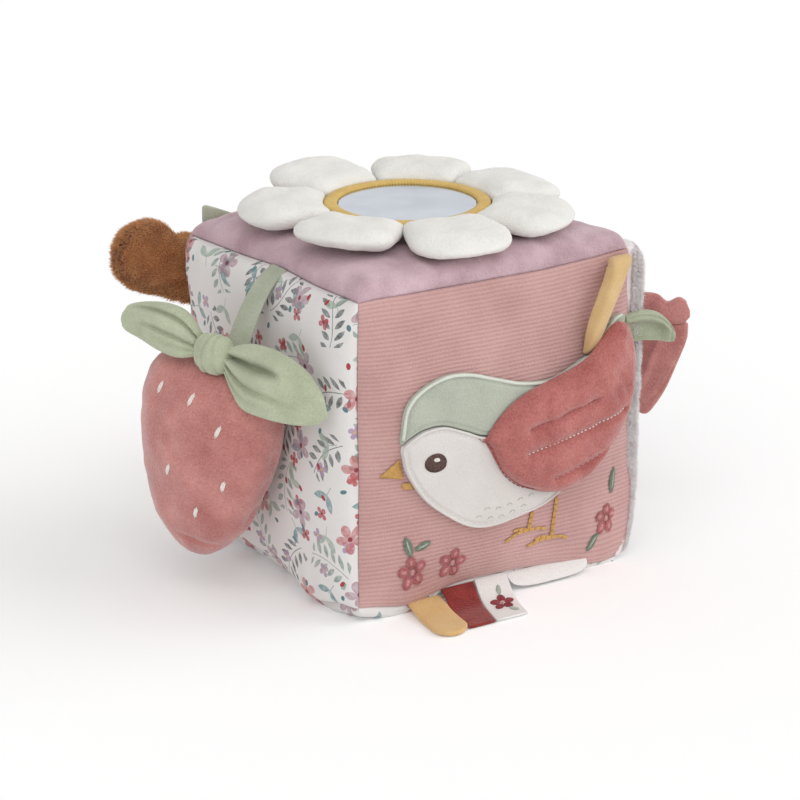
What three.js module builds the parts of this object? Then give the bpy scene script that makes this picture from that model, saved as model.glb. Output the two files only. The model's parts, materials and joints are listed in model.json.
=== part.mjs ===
// A soft fabric activity block for a baby: six sewn panels round a fibre filling, with a padded flower
// and mirror on top, a strawberry on a strap, a bird with a loose wing, a butterfly, a squirrel
// and ribbon tabs.
// Millimetres, +Z up. The origin is the middle of the flat area that the block stands on.
// The bird is on the front (-Y), the strawberry on the left (-X), the butterfly on the right (+X)
// and the squirrel on the back (+Y).
import * as THREE from "three";

const { BufferGeometry, Float32BufferAttribute, Group, LatheGeometry, MathUtils, Mesh } = THREE;
const { MeshStandardMaterial, Vector2, Vector3 } = THREE;

// Driving dimensions of the block
const blockEdge = 140; // between two seams, along an edge
const bottomSeamHeight = 8; // the lower seams stand this high above the floor
const restCut = 0.5; // the bottom's crown is flattened this deep where it stands
const panelThickness = 2.5; // fabric with its wadding
const fillingGap = 0.35; // between the panels and the filling
const seamGap = 0.22; // each panel's edge stops this far short of the mitre
const sewnGap = 0.4; // under a piece that is sewn flat on a panel
const seatGap = 0.3; // between other pieces that touch
const petalSeatGap = 0.45; // between a petal's straight root and the round ring
const wingSeatGap = 0.45; // between a butterfly wing's root and the body
const seamDip = 1; // the seams bow inwards between the corners

// How far each panel swells out: stretchy plush swells more, and more steeply at its seams, than woven cloth
const topCrown = 11;
const bottomCrown = bottomSeamHeight + restCut;
const frontCrown = 8;
const backCrown = 10;
const leftCrown = 10;
const rightCrown = 17;
const plushPowers = [5, 0.27]; // the first makes the swell squarer, the second makes it round over later
const cottonPowers = [5, 0.3];
const ribPowers = [3, 0.6];
const restingPowers = [8, 0.22];
const cornerPullShare = 0.01; // how far the corners are drawn in
const cornerPower = 4;
const seamPower = 8;

// Flower and mirror
const petalCount = 7;
const flowerRadius = 76.5;
const mirrorRingRadius = 37.6;
const mirrorRadius = 31.2;
const ringHeight = 3;
const mirrorThickness = 1.5;
const flowerPadThickness = 3.9;
const petalRootHalfWidth = 16.9;
const petalHalfWidth = 23.5;
const petalThickness = 11;
const petalRootThickness = 3.5;
const petalTurns = [0, 0, 0, 0, 5, 2.5, 1]; // degrees that each is sewn out of an even spacing

// Strawberry, its bow and its strap
const berryWidth = 71;
const berryDepth = 42;
const berryHeight = 92;
const berryStandOff = 25.5; // from the left panel's crown to the middle of the berry
const berryMiddleHeight = 64.5; // above the floor
const berrySide = -1.3; // from the middle of the panel towards the back
const berryTurn = 24; // degrees, turned on its strap towards the front
const berryLean = 9; // degrees, its tip towards the back
const strapWidth = 12;
const strapThickness = 1.6;
const strapSide = 6.4; // from the middle of the edge towards the front
const knotWidth = 19;
const knotHeight = 16;
const knotDepth = 13;
const leftLeafLength = 42;
const leftLeafWidth = 25;
const rightLeafLength = 50;
const rightLeafWidth = 31;
const leafThickness = 9;
const leafTuck = 24; // degrees, how far a leaf's lower edge is turned out over the berry

// Bird
const birdLength = 120; // from its brow to the side seam
const birdHeight = 73; // from its belly to its crown
const birdBrowInset = 17; // from the left seam to the brow
const birdBellyHeight = 29.5; // above the lower seam
const appliqueThickness = 3;
const wingThickness = 9;
const birdTailLength = 28;
const birdTailWidth = 14.5;
const birdTailThickness = 3.6;
const birdTailHeight = 112.5; // above the floor, at its root
const yellowStrapWidth = 11.5;
const yellowStrapThickness = 4.2;
const yellowStrapBow = 4; // how far it stands off the panel halfway

// Butterfly
const butterflyBodyLength = 42;
const butterflyBodyDiameter = 8;
const butterflyMiddleHeight = 87; // above the floor
const wingOpening = 47; // degrees from straight out of the panel
const butterflyWingLength = 53; // from the body to the tip
const butterflyWingHeight = 60; // both wings of one side together
const butterflyWingThickness = 6;

// Squirrel
const squirrelBodyHeight = 78;
const squirrelBodyWidth = 50;
const squirrelHeadLength = 36;
const squirrelHeadWidth = 28;
const squirrelEarLength = 15;
const squirrelThickness = 4.5;
const squirrelFootHeight = 12; // above the lower seam
const squirrelTailLength = 81; // measured level
const squirrelTailWidth = 35;
const squirrelTailThickness = 24;
const squirrelTailHeight = 80; // above the floor, at its root

// Ribbon tabs
const tabWidth = 17.1;
const tabGap = 0.5; // between one tab and the next
const tabLength = 30;
const yellowTabLength = 33;
const yellowTabSkew = 4.5; // how far a tab's free end leans towards the strawberry
const redTabSkew = 6.2;
const flowerTabSkew = 8.1;
const tabStart = 44.1; // from the middle of the front seam to the first tab's outer side
const paddedTabThickness = 2.4;
const ribbonThickness = 1.2;
const labelWidth = 43;
const labelLength = 8.6;
const sageTabLength = 9.7;
const sageTabSide = 57.5; // from the middle of the back seam towards the strawberry
const tabFloorGap = 0.3;

// Places that the sizes above give
const halfEdge = blockEdge / 2;
const blockMiddle = bottomSeamHeight + halfEdge;
const topSeamHeight = bottomSeamHeight + blockEdge;
const crownTop = topSeamHeight + topCrown;
const tabPitch = tabWidth + tabGap;

// A face knows which of the three directions it looks along, and whether it looks up or down that direction.
function faceLooking(way, crown, powers) {
  const axis = way.toArray().findIndex((part) => part !== 0);
  const outward = way.getComponent(axis) > 0;
  return { axis, outward, crown, powers };
}

const faces = {
  right: faceLooking(new Vector3(1, 0, 0), rightCrown, plushPowers),
  left: faceLooking(new Vector3(-1, 0, 0), leftCrown, cottonPowers),
  back: faceLooking(new Vector3(0, 1, 0), backCrown, plushPowers),
  front: faceLooking(new Vector3(0, -1, 0), frontCrown, ribPowers),
  top: faceLooking(new Vector3(0, 0, 1), topCrown, plushPowers),
  bottom: faceLooking(new Vector3(0, 0, -1), bottomCrown, restingPowers),
};

const wholeGroup = new Group();

function material(colour, roughness, metalness = 0) {
  return new MeshStandardMaterial({ color: new THREE.Color(...colour), roughness, metalness });
}

const fabrics = {
  lavender: material([0.62, 0.5, 0.6], 0.95),
  pinkRib: material([0.73, 0.47, 0.46], 0.95),
  printedCotton: material([0.82, 0.8, 0.78], 0.9),
  lilacPlush: material([0.76, 0.7, 0.72], 0.98),
  sandVelour: material([0.72, 0.66, 0.58], 0.95),
  fibre: material([0.9, 0.9, 0.88], 1),
  whiteVelour: material([0.86, 0.85, 0.81], 0.95),
  mustard: material([0.78, 0.58, 0.26], 0.85),
  mirror: material([0.8, 0.82, 0.86], 0.05, 1),
  rose: material([0.66, 0.26, 0.26], 0.95),
  sage: material([0.56, 0.6, 0.48], 0.95),
  cream: material([0.84, 0.82, 0.79], 0.95),
  wine: material([0.42, 0.08, 0.1], 0.9),
  label: material([0.86, 0.85, 0.83], 0.9),
  brownPlush: material([0.5, 0.25, 0.12], 1),
};

function addNode(name, geometry, fabric) {
  const mesh = new Mesh(geometry, fabric);
  mesh.name = name;
  wholeGroup.add(mesh);
  return mesh;
}

// Six times the volume that a triangle list encloses, negative where its faces point inwards.
function signedVolume(points, index) {
  const cross = new Vector3();
  let sum = 0;
  for (let i = 0; i < index.length; i += 3) {
    cross.crossVectors(points[index[i + 1]], points[index[i + 2]]);
    sum += points[index[i]].dot(cross);
  }
  return sum;
}

function closedGeometry(points, index) {
  const outward = signedVolume(points, index) > 0 ? index : index.slice().reverse();
  const geometry = new BufferGeometry();
  geometry.setAttribute("position", new Float32BufferAttribute(points.flatMap((p) => p.toArray()), 3));
  geometry.setIndex(outward);
  geometry.computeVertexNormals();
  return geometry;
}

// A closed skin through rings of equal length, from one end point to the other.
function skin(rings, first, last) {
  const points = [first, ...rings.flat(), last];
  const around = rings[0].length;
  const index = [];
  for (let i = 0; i < around; i++) {
    const j = (i + 1) % around;
    index.push(0, 1 + j, 1 + i);
    for (let r = 0; r < rings.length - 1; r++) {
      const near = 1 + r * around;
      const far = near + around;
      index.push(near + i, near + j, far + j, near + i, far + j, far + i);
    }
    const lastRing = 1 + (rings.length - 1) * around;
    index.push(lastRing + i, lastRing + j, points.length - 1);
  }
  return closedGeometry(points, index);
}

function middleOf(ring) {
  const sum = ring.reduce((total, p) => total.add(p), new Vector3());
  return sum.divideScalar(ring.length);
}

// The point of the soft block's skin that stands for the point q of a unit cube's surface.
// Each face swells by its crown, the seams dip a little between the corners, and the corners are drawn in.
// inset is how far inside the skin the point lies.
function softBlockPoint(q, inset = 0) {
  const size = q.map(Math.abs);
  const corner = (size[0] * size[1] * size[2]) ** cornerPower;
  const half = halfEdge - inset;
  const point = q.map((value, axis) => {
    const face = Object.values(faces).find((f) => f.axis === axis && f.outward === value >= 0);
    const [squareness, steepness] = face.powers;
    const [a, b] = size.filter((_, other) => other !== axis);
    const inside = (1 - a ** squareness) * (1 - b ** squareness);
    const swell = face.crown * Math.max(0, inside) ** steepness;
    const nearSeam = a ** seamPower * (1 - b ** 2) + b ** seamPower * (1 - a ** 2);
    const dip = seamDip * size[axis] ** seamPower * nearSeam;
    return half * value * (1 - cornerPullShare * corner) + Math.sign(value) * (swell - dip);
  });
  point[2] = Math.max(point[2] + blockMiddle, inset);
  return new Vector3(...point);
}

// The same, by the two shares across one face.
function facePoint(face, u, v, inset = 0) {
  const q = face.axis === 1 ? [v, u] : [u, v];
  q.splice(face.axis, 0, face.outward ? 1 : -1);
  return softBlockPoint(q, inset);
}

const sideShares = [-1, -0.82, -0.45, 0, 0.45, 0.82];
const ringShares = [0.45, 0.78, 0.93, 1];

// The places round a face's square outline, as shares of the half edge.
function squareShares() {
  const shares = [];
  for (const s of sideShares) shares.push([s, -1]);
  for (const s of sideShares) shares.push([1, s]);
  for (const s of sideShares) shares.push([-s, 1]);
  for (const s of sideShares) shares.push([-1, -s]);
  return shares;
}

function faceRing(face, share, inset) {
  return squareShares().map(([u, v]) => facePoint(face, u * share, v * share, inset));
}

// One sewn panel: its outer skin, the mitred edge at its seams and its inner skin.
function panelGeometry(face) {
  const outer = ringShares.map((s) => faceRing(face, s, 0));
  const inner = ringShares.map((s) => faceRing(face, s, panelThickness)).reverse();
  const first = facePoint(face, 0, 0, 0);
  const last = facePoint(face, 0, 0, panelThickness);
  const shrink = new Vector3(1, 1, 1).multiplyScalar((halfEdge - seamGap) / halfEdge);
  shrink.setComponent(face.axis, 1);
  const middle = new Vector3(0, 0, face.axis === 2 ? 0 : blockMiddle);
  for (const p of [...outer.flat(), ...inner.flat()]) p.sub(middle).multiply(shrink).add(middle);
  return skin([...outer, ...inner], first, last);
}

// The filling has the panels' own shape, one gap inside them.
function fillingGeometry() {
  const inset = panelThickness + fillingGap;
  const points = [];
  const index = [];
  for (const face of Object.values(faces)) {
    const rings = ringShares.map((s) => faceRing(face, s, inset));
    const start = points.length;
    const around = rings[0].length;
    const facing = [];
    points.push(facePoint(face, 0, 0, inset), ...rings.flat());
    for (let i = 0; i < around; i++) {
      const j = (i + 1) % around;
      facing.push(0, 1 + i, 1 + j);
      for (let r = 0; r < rings.length - 1; r++) {
        const near = 1 + r * around;
        const far = near + around;
        facing.push(near + i, far + i, near + j, far + i, far + j, near + j);
      }
    }
    if (!face.outward) facing.reverse();
    index.push(...facing.map((i) => i + start));
  }
  return closedGeometry(points, index);
}

// Cross-sections, as [share across, share of the height above or below]
function roundSectionShares(sides, fullness) {
  return Array.from({ length: sides }, (_, i) => {
    const angle = (2 * Math.PI * i) / sides;
    const height = Math.sin(angle);
    return [Math.cos(angle), Math.sign(height) * Math.abs(height) ** fullness];
  });
}
const flatSectionShares = [[1, 1], [-1, 1], [-1, -1], [1, -1]];
const appliqueSectionShares = [
  [1, 0], [0.9, 0.85], [0.3, 1], [-0.3, 1], [-0.9, 0.85], [-1, 0], [-0.3, 0], [0.3, 0],
];

// A stuffed or flat form through sections. Each section has its middle, its half width and the way up,
// as vectors, and how thick it is above and below its middle.
// place turns a point of the form's own space into the part's.
function sewnForm(sections, sectionShares, place = (p) => p, endPoints = {}) {
  const rings = sections.map(({ middle, half, up, above, below }) =>
    sectionShares.map(([across, height]) => {
      const rise = height > 0 ? height * above : height * below;
      return middle.clone().addScaledVector(half, across).addScaledVector(up, rise);
    }),
  );
  const first = endPoints.first ?? middleOf(rings[0]);
  const last = endPoints.last ?? middleOf(rings[rings.length - 1]);
  return skin(rings.map((ring) => ring.map(place)), place(first.clone()), place(last.clone()));
}

// Sections between two edges of a flat outline, each a list of [x, y] in the form's own plane.
function sectionsBetween(lower, upper, above, below) {
  return lower.map(([x, y], i) => {
    const low = new Vector3(x, y, 0);
    const high = new Vector3(...upper[i], 0);
    return {
      middle: low.clone().add(high).multiplyScalar(0.5),
      half: high.clone().sub(low).multiplyScalar(0.5),
      up: new Vector3(0, 0, 1),
      above: above(i / (lower.length - 1)),
      below: below(i / (lower.length - 1)),
    };
  });
}

// A frame in space: a point of a form's own space goes to origin + x across + y along + z up.
function placeIn(origin, across, along, up) {
  return (p) =>
    origin
      .clone()
      .addScaledVector(across, p.x)
      .addScaledVector(along, p.y)
      .addScaledVector(up, p.z);
}

// Lays a flat form on a face, swelling with it: x runs along the seam, y up, and z out of the panel.
function placeOnFace(face) {
  return (p) => {
    const u = p.x / halfEdge;
    const v = (p.y - blockMiddle) / halfEdge;
    const point = face.axis === 0 ? facePoint(face, u, v) : facePoint(face, v, u);
    const out = face.outward ? sewnGap + p.z : -sewnGap - p.z;
    return point.setComponent(face.axis, point.getComponent(face.axis) + out);
  };
}

function addPanels() {
  addNode("top_panel", panelGeometry(faces.top), fabrics.lavender);
  addNode("front_panel", panelGeometry(faces.front), fabrics.pinkRib);
  addNode("left_panel", panelGeometry(faces.left), fabrics.printedCotton);
  addNode("right_panel", panelGeometry(faces.right), fabrics.lilacPlush);
  addNode("back_panel", panelGeometry(faces.back), fabrics.sandVelour);
  addNode("bottom_panel", panelGeometry(faces.bottom), fabrics.printedCotton);
  addNode("filling", fillingGeometry(), fabrics.fibre);
}

// A ring or disc turned about the flower's axis, from [radius, height] points.
function turned(profile, steps) {
  const geometry = new LatheGeometry(profile.map(([r, z]) => new Vector2(r, z)), steps);
  return geometry.rotateX(Math.PI / 2);
}

const turnSteps = 28;
const padRoundShare = 0.25;
const ringRoundShare = 0.33;
const padBottom = crownTop + seatGap;
const padTop = padBottom + flowerPadThickness;
const ringBottom = padTop + seatGap;
const ringTop = ringBottom + ringHeight;

function addFlowerMiddle() {
  const padRadius = mirrorRingRadius - seatGap;
  const bulge = flowerPadThickness * padRoundShare;
  addNode(
    "flower_pad",
    turned(
      [
        [0, padBottom],
        [padRadius - bulge, padBottom],
        [padRadius, padBottom + bulge],
        [padRadius, padTop - bulge],
        [padRadius - bulge, padTop],
        [0, padTop],
      ],
      turnSteps,
    ),
    fabrics.whiteVelour,
  );
  const ringInner = mirrorRadius + seatGap;
  const soft = ringHeight * ringRoundShare;
  addNode(
    "mirror_ring",
    turned(
      [
        [ringInner, ringBottom],
        [mirrorRingRadius - soft, ringBottom],
        [mirrorRingRadius, ringBottom + soft],
        [mirrorRingRadius, ringTop - soft],
        [mirrorRingRadius - soft, ringTop],
        [ringInner + soft, ringTop],
        [ringInner, ringTop - soft],
        [ringInner, ringBottom],
      ],
      turnSteps,
    ),
    fabrics.mustard,
  );
  addNode(
    "mirror",
    turned(
      [
        [0, ringBottom],
        [mirrorRadius, ringBottom],
        [mirrorRadius, ringBottom + mirrorThickness],
        [0, ringBottom + mirrorThickness],
      ],
      turnSteps,
    ),
    fabrics.mirror,
  );
}

// Stations along a petal: share of its length, share of its half width, share of its thickness
const petalStationShares = [
  [0, 0, 0],
  [0.1, 0.24, 0.45],
  [0.28, 0.61, 0.82],
  [0.5, 0.97, 1],
  [0.6, 1, 1],
  [0.76, 0.92, 0.93],
  [0.89, 0.7, 0.72],
  [0.975, 0.36, 0.42],
];

function addPetals() {
  const rootRadius = mirrorRingRadius + petalSeatGap;
  const length = flowerRadius - rootRadius;
  const petalMiddle = ringTop - petalRootThickness / 2;
  const sections = petalStationShares.map(([along, wide, thick]) => {
    const halfWidth = MathUtils.lerp(petalRootHalfWidth, petalHalfWidth, wide);
    const rounded = along > 0.5 ? petalHalfWidth * wide : halfWidth;
    const thickness = MathUtils.lerp(petalRootThickness, petalThickness, thick);
    return {
      middle: new Vector3(rootRadius + length * along, 0, 0),
      half: new Vector3(0, rounded, 0),
      up: new Vector3(0, 0, 1),
      above: thickness / 2,
      below: thickness / 2,
    };
  });
  const tip = { last: new Vector3(flowerRadius, 0, 0) };
  for (let i = 0; i < petalCount; i++) {
    const angle = (2 * Math.PI * i) / petalCount + MathUtils.degToRad(petalTurns[i]);
    const out = new Vector3(Math.cos(angle), Math.sin(angle), 0);
    const side = new Vector3(-Math.sin(angle), Math.cos(angle), 0);
    const place = placeIn(new Vector3(0, 0, petalMiddle), out, side, new Vector3(0, 0, 1));
    const petal = sewnForm(sections, roundSectionShares(14, 0.8), place, tip);
    addNode(`petal_${i + 1}`, petal, fabrics.whiteVelour);
  }
}

// The berry's own frame: across to the right as it is seen, up its axis and out of its face
const berryMiddle = new Vector3(-halfEdge - leftCrown - berryStandOff, berrySide, berryMiddleHeight);
const berryAngle = MathUtils.degToRad(berryTurn);
const berryFacing = new Vector3(-Math.cos(berryAngle), -Math.sin(berryAngle), 0);
const berryAcross = new Vector3(Math.sin(berryAngle), -Math.cos(berryAngle), 0);
const berryTilt = MathUtils.degToRad(berryLean);
const berryUp = new Vector3(0, 0, 1)
  .multiplyScalar(Math.cos(berryTilt))
  .addScaledVector(berryAcross, Math.sin(berryTilt));
const berryLevel = berryAcross
  .clone()
  .multiplyScalar(Math.cos(berryTilt))
  .addScaledVector(new Vector3(0, 0, 1), -Math.sin(berryTilt));
const placeBerry = placeIn(berryMiddle, berryLevel, berryUp, berryFacing);
const placeBow = placeIn(berryMiddle, berryAcross, new Vector3(0, 0, 1), berryFacing);

// Stations up the berry: share of its height from its middle, shares of its half width and half depth
const berryStationShares = [
  [-0.49, 0.2, 0.24],
  [-0.43, 0.41, 0.47],
  [-0.33, 0.6, 0.68],
  [-0.224, 0.74, 0.81],
  [-0.074, 0.88, 0.94],
  [0.065, 0.955, 1],
  [0.21, 0.99, 1],
  [0.31, 0.97, 0.93],
  [0.41, 0.9, 0.76],
  [0.475, 0.74, 0.5],
];
const berryTopShare = 0.505;
const berryTipShare = -0.505;

function addBerry() {
  const sections = berryStationShares.map(([up, wide, deep]) => ({
    middle: new Vector3(0, berryHeight * up, 0),
    half: new Vector3((berryWidth / 2) * wide, 0, 0),
    up: new Vector3(0, 0, 1),
    above: (berryDepth / 2) * deep,
    below: (berryDepth / 2) * deep,
  }));
  const ends = {
    first: new Vector3(0, berryHeight * berryTipShare, 0),
    last: new Vector3(0, berryHeight * berryTopShare, 0),
  };
  addNode("strawberry_body", sewnForm(sections, roundSectionShares(20, 0.9), placeBerry, ends), fabrics.rose);
}

// Stations along a leaf of the bow: share of its length, rise as a share of its width, how far it stands
// forward as a share of its width, half width share, thickness share
const leftLeafShares = [
  [0, 0.11, 0, 0.42, 0.75],
  [0.18, 0.25, 0.06, 0.82, 0.95],
  [0.4, 0.33, 0.08, 0.85, 1],
  [0.66, 0.36, 0.04, 0.68, 0.9],
  [0.87, 0.34, 0, 0.5, 0.75],
  [0.97, 0.32, -0.02, 0.28, 0.55],
];
const rightLeafShares = [
  [0, -0.06, 0, 0.4, 0.75],
  [0.12, -0.15, 0.03, 0.72, 0.95],
  [0.26, -0.23, 0.07, 0.96, 1],
  [0.51, -0.27, 0.1, 1, 1],
  [0.76, -0.37, 0.06, 0.8, 0.85],
  [0.92, -0.5, 0, 0.42, 0.55],
  [1, -0.57, 0, 0.14, 0.35],
];

// Where the knot's middle lies, from the top of the berry, as shares of the knot's own size
const knotRiseShare = 0.4;
const knotForwardShare = 0.62;
const knotSideShare = 0.2;
const knotRise = berryHeight / 2 + knotHeight * knotRiseShare;
const knotForward = knotDepth * knotForwardShare;
const knotSide = (berryHeight / 2) * Math.sin(berryTilt) + knotWidth * knotSideShare;

function leafForm(stations, length, width, sign) {
  const tuck = MathUtils.degToRad(leafTuck);
  const sections = stations.map(([along, rise, out, wide, thick]) => ({
    middle: new Vector3(
      knotSide + sign * (knotWidth / 2 + seatGap + length * along),
      knotRise + width * rise,
      knotForward + width * out,
    ),
    half: new Vector3(0, Math.cos(tuck), -Math.sin(tuck)).multiplyScalar((width / 2) * wide),
    up: new Vector3(0, Math.sin(tuck), Math.cos(tuck)),
    above: (leafThickness / 2) * thick,
    below: (leafThickness / 2) * thick,
  }));
  return sewnForm(sections, roundSectionShares(12, 0.8), placeBow);
}

const knotShares = [0.62, 0.95, 1, 0.95, 0.62];

function addBow() {
  const knotLeft = knotSide - knotWidth / 2;
  const knotStep = knotWidth / (knotShares.length - 1);
  const sections = knotShares.map((wide, i) => ({
    middle: new Vector3(knotLeft + knotStep * i, knotRise, knotForward),
    half: new Vector3(0, (knotHeight / 2) * wide, 0),
    up: new Vector3(0, 0, 1),
    above: (knotDepth / 2) * wide,
    below: (knotDepth / 2) * wide,
  }));
  addNode("bow_knot", sewnForm(sections, roundSectionShares(12, 0.8), placeBow), fabrics.sage);
  addNode("bow_leaf_left", leafForm(leftLeafShares, leftLeafLength, leftLeafWidth, -1), fabrics.sage);
  addNode("bow_leaf_right", leafForm(rightLeafShares, rightLeafLength, rightLeafWidth, 1), fabrics.sage);
}

// The strap leaves the top seam, lies over the panel's swell and ends on the berry's shoulder.
const strapShoulderShare = 0.6; // of its width, from the berry's axis
const strapCurveShare = 1.5; // how far its curve is led out, in crowns of the panel
const strapRows = 8;

function addBerryStrap() {
  const seam = halfEdge - seamDip;
  const outside = strapThickness / 2 + 2 * seatGap;
  const top = new Vector3(-seam - outside, -strapSide, blockMiddle + seam + seatGap);
  const rise = berryHeight * berryTopShare + strapThickness / 2 + seatGap;
  const bottom = placeBerry(new Vector3(strapWidth * strapShoulderShare, rise, 0));
  const reach = leftCrown * strapCurveShare;
  const over = new Vector3(top.x - reach, (top.y + bottom.y) / 2, top.z - 2 * strapThickness);
  const sections = Array.from({ length: strapRows }, (_, i) => {
    const share = i / (strapRows - 1);
    const early = top.clone().lerp(over, share);
    const late = over.clone().lerp(bottom, share);
    const way = late.clone().sub(early).normalize();
    const twist = berryAngle * share;
    const across = new Vector3(Math.sin(twist), -Math.cos(twist), 0);
    return {
      middle: early.lerp(late, share),
      half: across.clone().multiplyScalar(strapWidth / 2),
      up: across.clone().cross(way).normalize(),
      above: strapThickness / 2,
      below: strapThickness / 2,
    };
  });
  addNode("strawberry_strap", sewnForm(sections, flatSectionShares), fabrics.sage);
}

// The bird's outline in shares of its length and height, from the brow and the belly
const capLowerShares = [
  [0.006, 0.625], [0.038, 0.665], [0.092, 0.703], [0.167, 0.705], [0.258, 0.65], [0.367, 0.58],
  [0.508, 0.582], [0.65, 0.678], [0.782, 0.782], [0.868, 0.838], [0.92, 0.87], [0.955, 0.89], [0.99, 0.91],
];
const capUpperShares = [
  [0.003, 0.66], [0.025, 0.842], [0.083, 0.945], [0.183, 0.999], [0.292, 0.99], [0.408, 0.934],
  [0.525, 0.87], [0.65, 0.85], [0.775, 0.915], [0.86, 0.985], [0.907, 1.08], [0.945, 1.14], [0.99, 1.157],
];
const breastLowerShares = [
  [0.007, 0.582], [0.029, 0.438], [0.1, 0.247], [0.183, 0.123], [0.287, 0.027], [0.392, 0],
  [0.517, 0.02], [0.642, 0.062], [0.775, 0.212], [0.875, 0.473], [0.942, 0.692],
];
const breastUpperShares = [
  [0.01, 0.61], [0.042, 0.65], [0.096, 0.69], [0.175, 0.693], [0.267, 0.635], [0.367, 0.568],
  [0.508, 0.57], [0.65, 0.664], [0.783, 0.772], [0.883, 0.836], [0.95, 0.877],
];
const wingUpperShares = [
  [0.35, 0.585], [0.39, 0.668], [0.455, 0.757], [0.535, 0.82], [0.64, 0.87],
  [0.735, 0.915], [0.802, 0.968], [0.85, 1.05], [0.893, 1.122],
];
const wingLowerShares = [
  [0.362, 0.5], [0.42, 0.34], [0.512, 0.212], [0.665, 0.136], [0.825, 0.226],
  [0.942, 0.432], [1, 0.637], [1.011, 0.87], [0.992, 1.041],
];
const wingTipShares = [0.946, 1.144];

const birdLeft = birdBrowInset - halfEdge;
const birdFoot = bottomSeamHeight + birdBellyHeight;

function birdPoint([along, up]) {
  return [birdLeft + birdLength * along, birdFoot + birdHeight * up];
}

function addBirdBody() {
  const onFront = placeOnFace(faces.front);
  const thick = () => appliqueThickness;
  const flat = () => 0;
  const applique = (lowerShares, upperShares) => {
    const sections = sectionsBetween(lowerShares.map(birdPoint), upperShares.map(birdPoint), thick, flat);
    return sewnForm(sections, appliqueSectionShares, onFront);
  };
  addNode("bird_cap", applique(capLowerShares, capUpperShares), fabrics.sage);
  addNode("bird_breast", applique(breastLowerShares, breastUpperShares), fabrics.cream);
}

const wingBack = -halfEdge - frontCrown - sewnGap - appliqueThickness - seatGap;

// The stretch of a half wave that the wing's thickness follows from its root to its tip, and its fullness
const wingSwellShares = [0.14, 0.84];
const wingFullnessShare = 0.7;

function addBirdWing() {
  const swell = (share) => {
    const wave = Math.sin(Math.PI * MathUtils.lerp(...wingSwellShares, share));
    return wingThickness * wave ** wingFullnessShare;
  };
  const [lower, upper] = [wingLowerShares.map(birdPoint), wingUpperShares.map(birdPoint)];
  const sections = sectionsBetween(lower, upper, swell, () => 0);
  const [tipX, tipY] = birdPoint(wingTipShares);
  const out = new Vector3(0, -1, 0);
  const place = placeIn(new Vector3(0, wingBack, 0), new Vector3(1, 0, 0), new Vector3(0, 0, 1), out);
  const tip = { last: new Vector3(tipX, tipY, 0) };
  const wing = sewnForm(sections, roundSectionShares(14, 0.7), place, tip);
  addNode("bird_wing", wing, fabrics.rose);
}

// Stations along the tail: share of its length, drop of its middle as a share of its width, half width share
const birdTailShares = [
  [0, 0, 0.93],
  [0.35, -0.02, 1],
  [0.65, 0.1, 0.95],
  [0.87, 0.32, 0.7],
  [0.97, 0.46, 0.4],
];

function addBirdTail() {
  const sections = birdTailShares.map(([along, drop, wide]) => ({
    middle: new Vector3(birdTailLength * along, -birdTailWidth * drop, 0),
    half: new Vector3(0, (birdTailWidth / 2) * wide, 0),
    up: new Vector3(0, 0, 1),
    above: birdTailThickness / 2,
    below: birdTailThickness / 2,
  }));
  const seam = halfEdge - seamDip + seatGap;
  const origin = new Vector3(seam, -seam - birdTailThickness / 2, birdTailHeight);
  const place = placeIn(origin, new Vector3(1, 0, 0), new Vector3(0, 0, 1), new Vector3(0, -1, 0));
  addNode("bird_tail", sewnForm(sections, roundSectionShares(12, 0.6), place), fabrics.sage);
}

// A narrow padded strap from the top seam to the bird's back, bowed out from the panel.
// Stations: places across and up as shares of the half edge, and a share of the bow.
const yellowStrapShares = [
  [0.905, 0.99, 0.02], [0.86, 0.93, 0.5], [0.785, 0.85, 0.9], [0.72, 0.74, 1],
  [0.688, 0.65, 0.75], [0.674, 0.58, 0.35], [0.662, 0.51, 0],
];
function addYellowStrap() {
  const onFront = placeOnFace(faces.front);
  const sections = yellowStrapShares.map(([x, z, bow]) => ({
    middle: new Vector3(halfEdge * x, blockMiddle + halfEdge * z, yellowStrapBow * bow),
    half: new Vector3(yellowStrapWidth / 2, 0, 0),
    up: new Vector3(0, 0, 1),
    above: yellowStrapThickness,
    below: 0,
  }));
  addNode("yellow_strap", sewnForm(sections, appliqueSectionShares, onFront), fabrics.mustard);
}

// Stations along a wing: share of its length, its lower and upper edge as shares of the wings' height,
// and a share of its thickness
const upperWingShares = [
  [0, 0.02, 0.13, 0.4],
  [0.18, 0.06, 0.26, 0.85],
  [0.35, 0.11, 0.35, 1],
  [0.53, 0.13, 0.4, 1],
  [0.7, 0.14, 0.395, 1],
  [0.88, 0.155, 0.36, 0.8],
  [0.97, 0.2, 0.31, 0.45],
];
const lowerWingShares = [
  [0, -0.17, -0.02, 0.4],
  [0.18, -0.28, 0.045, 0.85],
  [0.35, -0.43, 0.09, 1],
  [0.53, -0.54, 0.115, 1],
  [0.65, -0.57, 0.13, 1],
  [0.76, -0.46, 0.14, 0.95],
  [0.88, -0.2, 0.15, 0.8],
  [0.97, 0.03, 0.14, 0.45],
];

const butterflyBodyX = halfEdge + rightCrown + sewnGap + butterflyBodyDiameter / 2;

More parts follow.
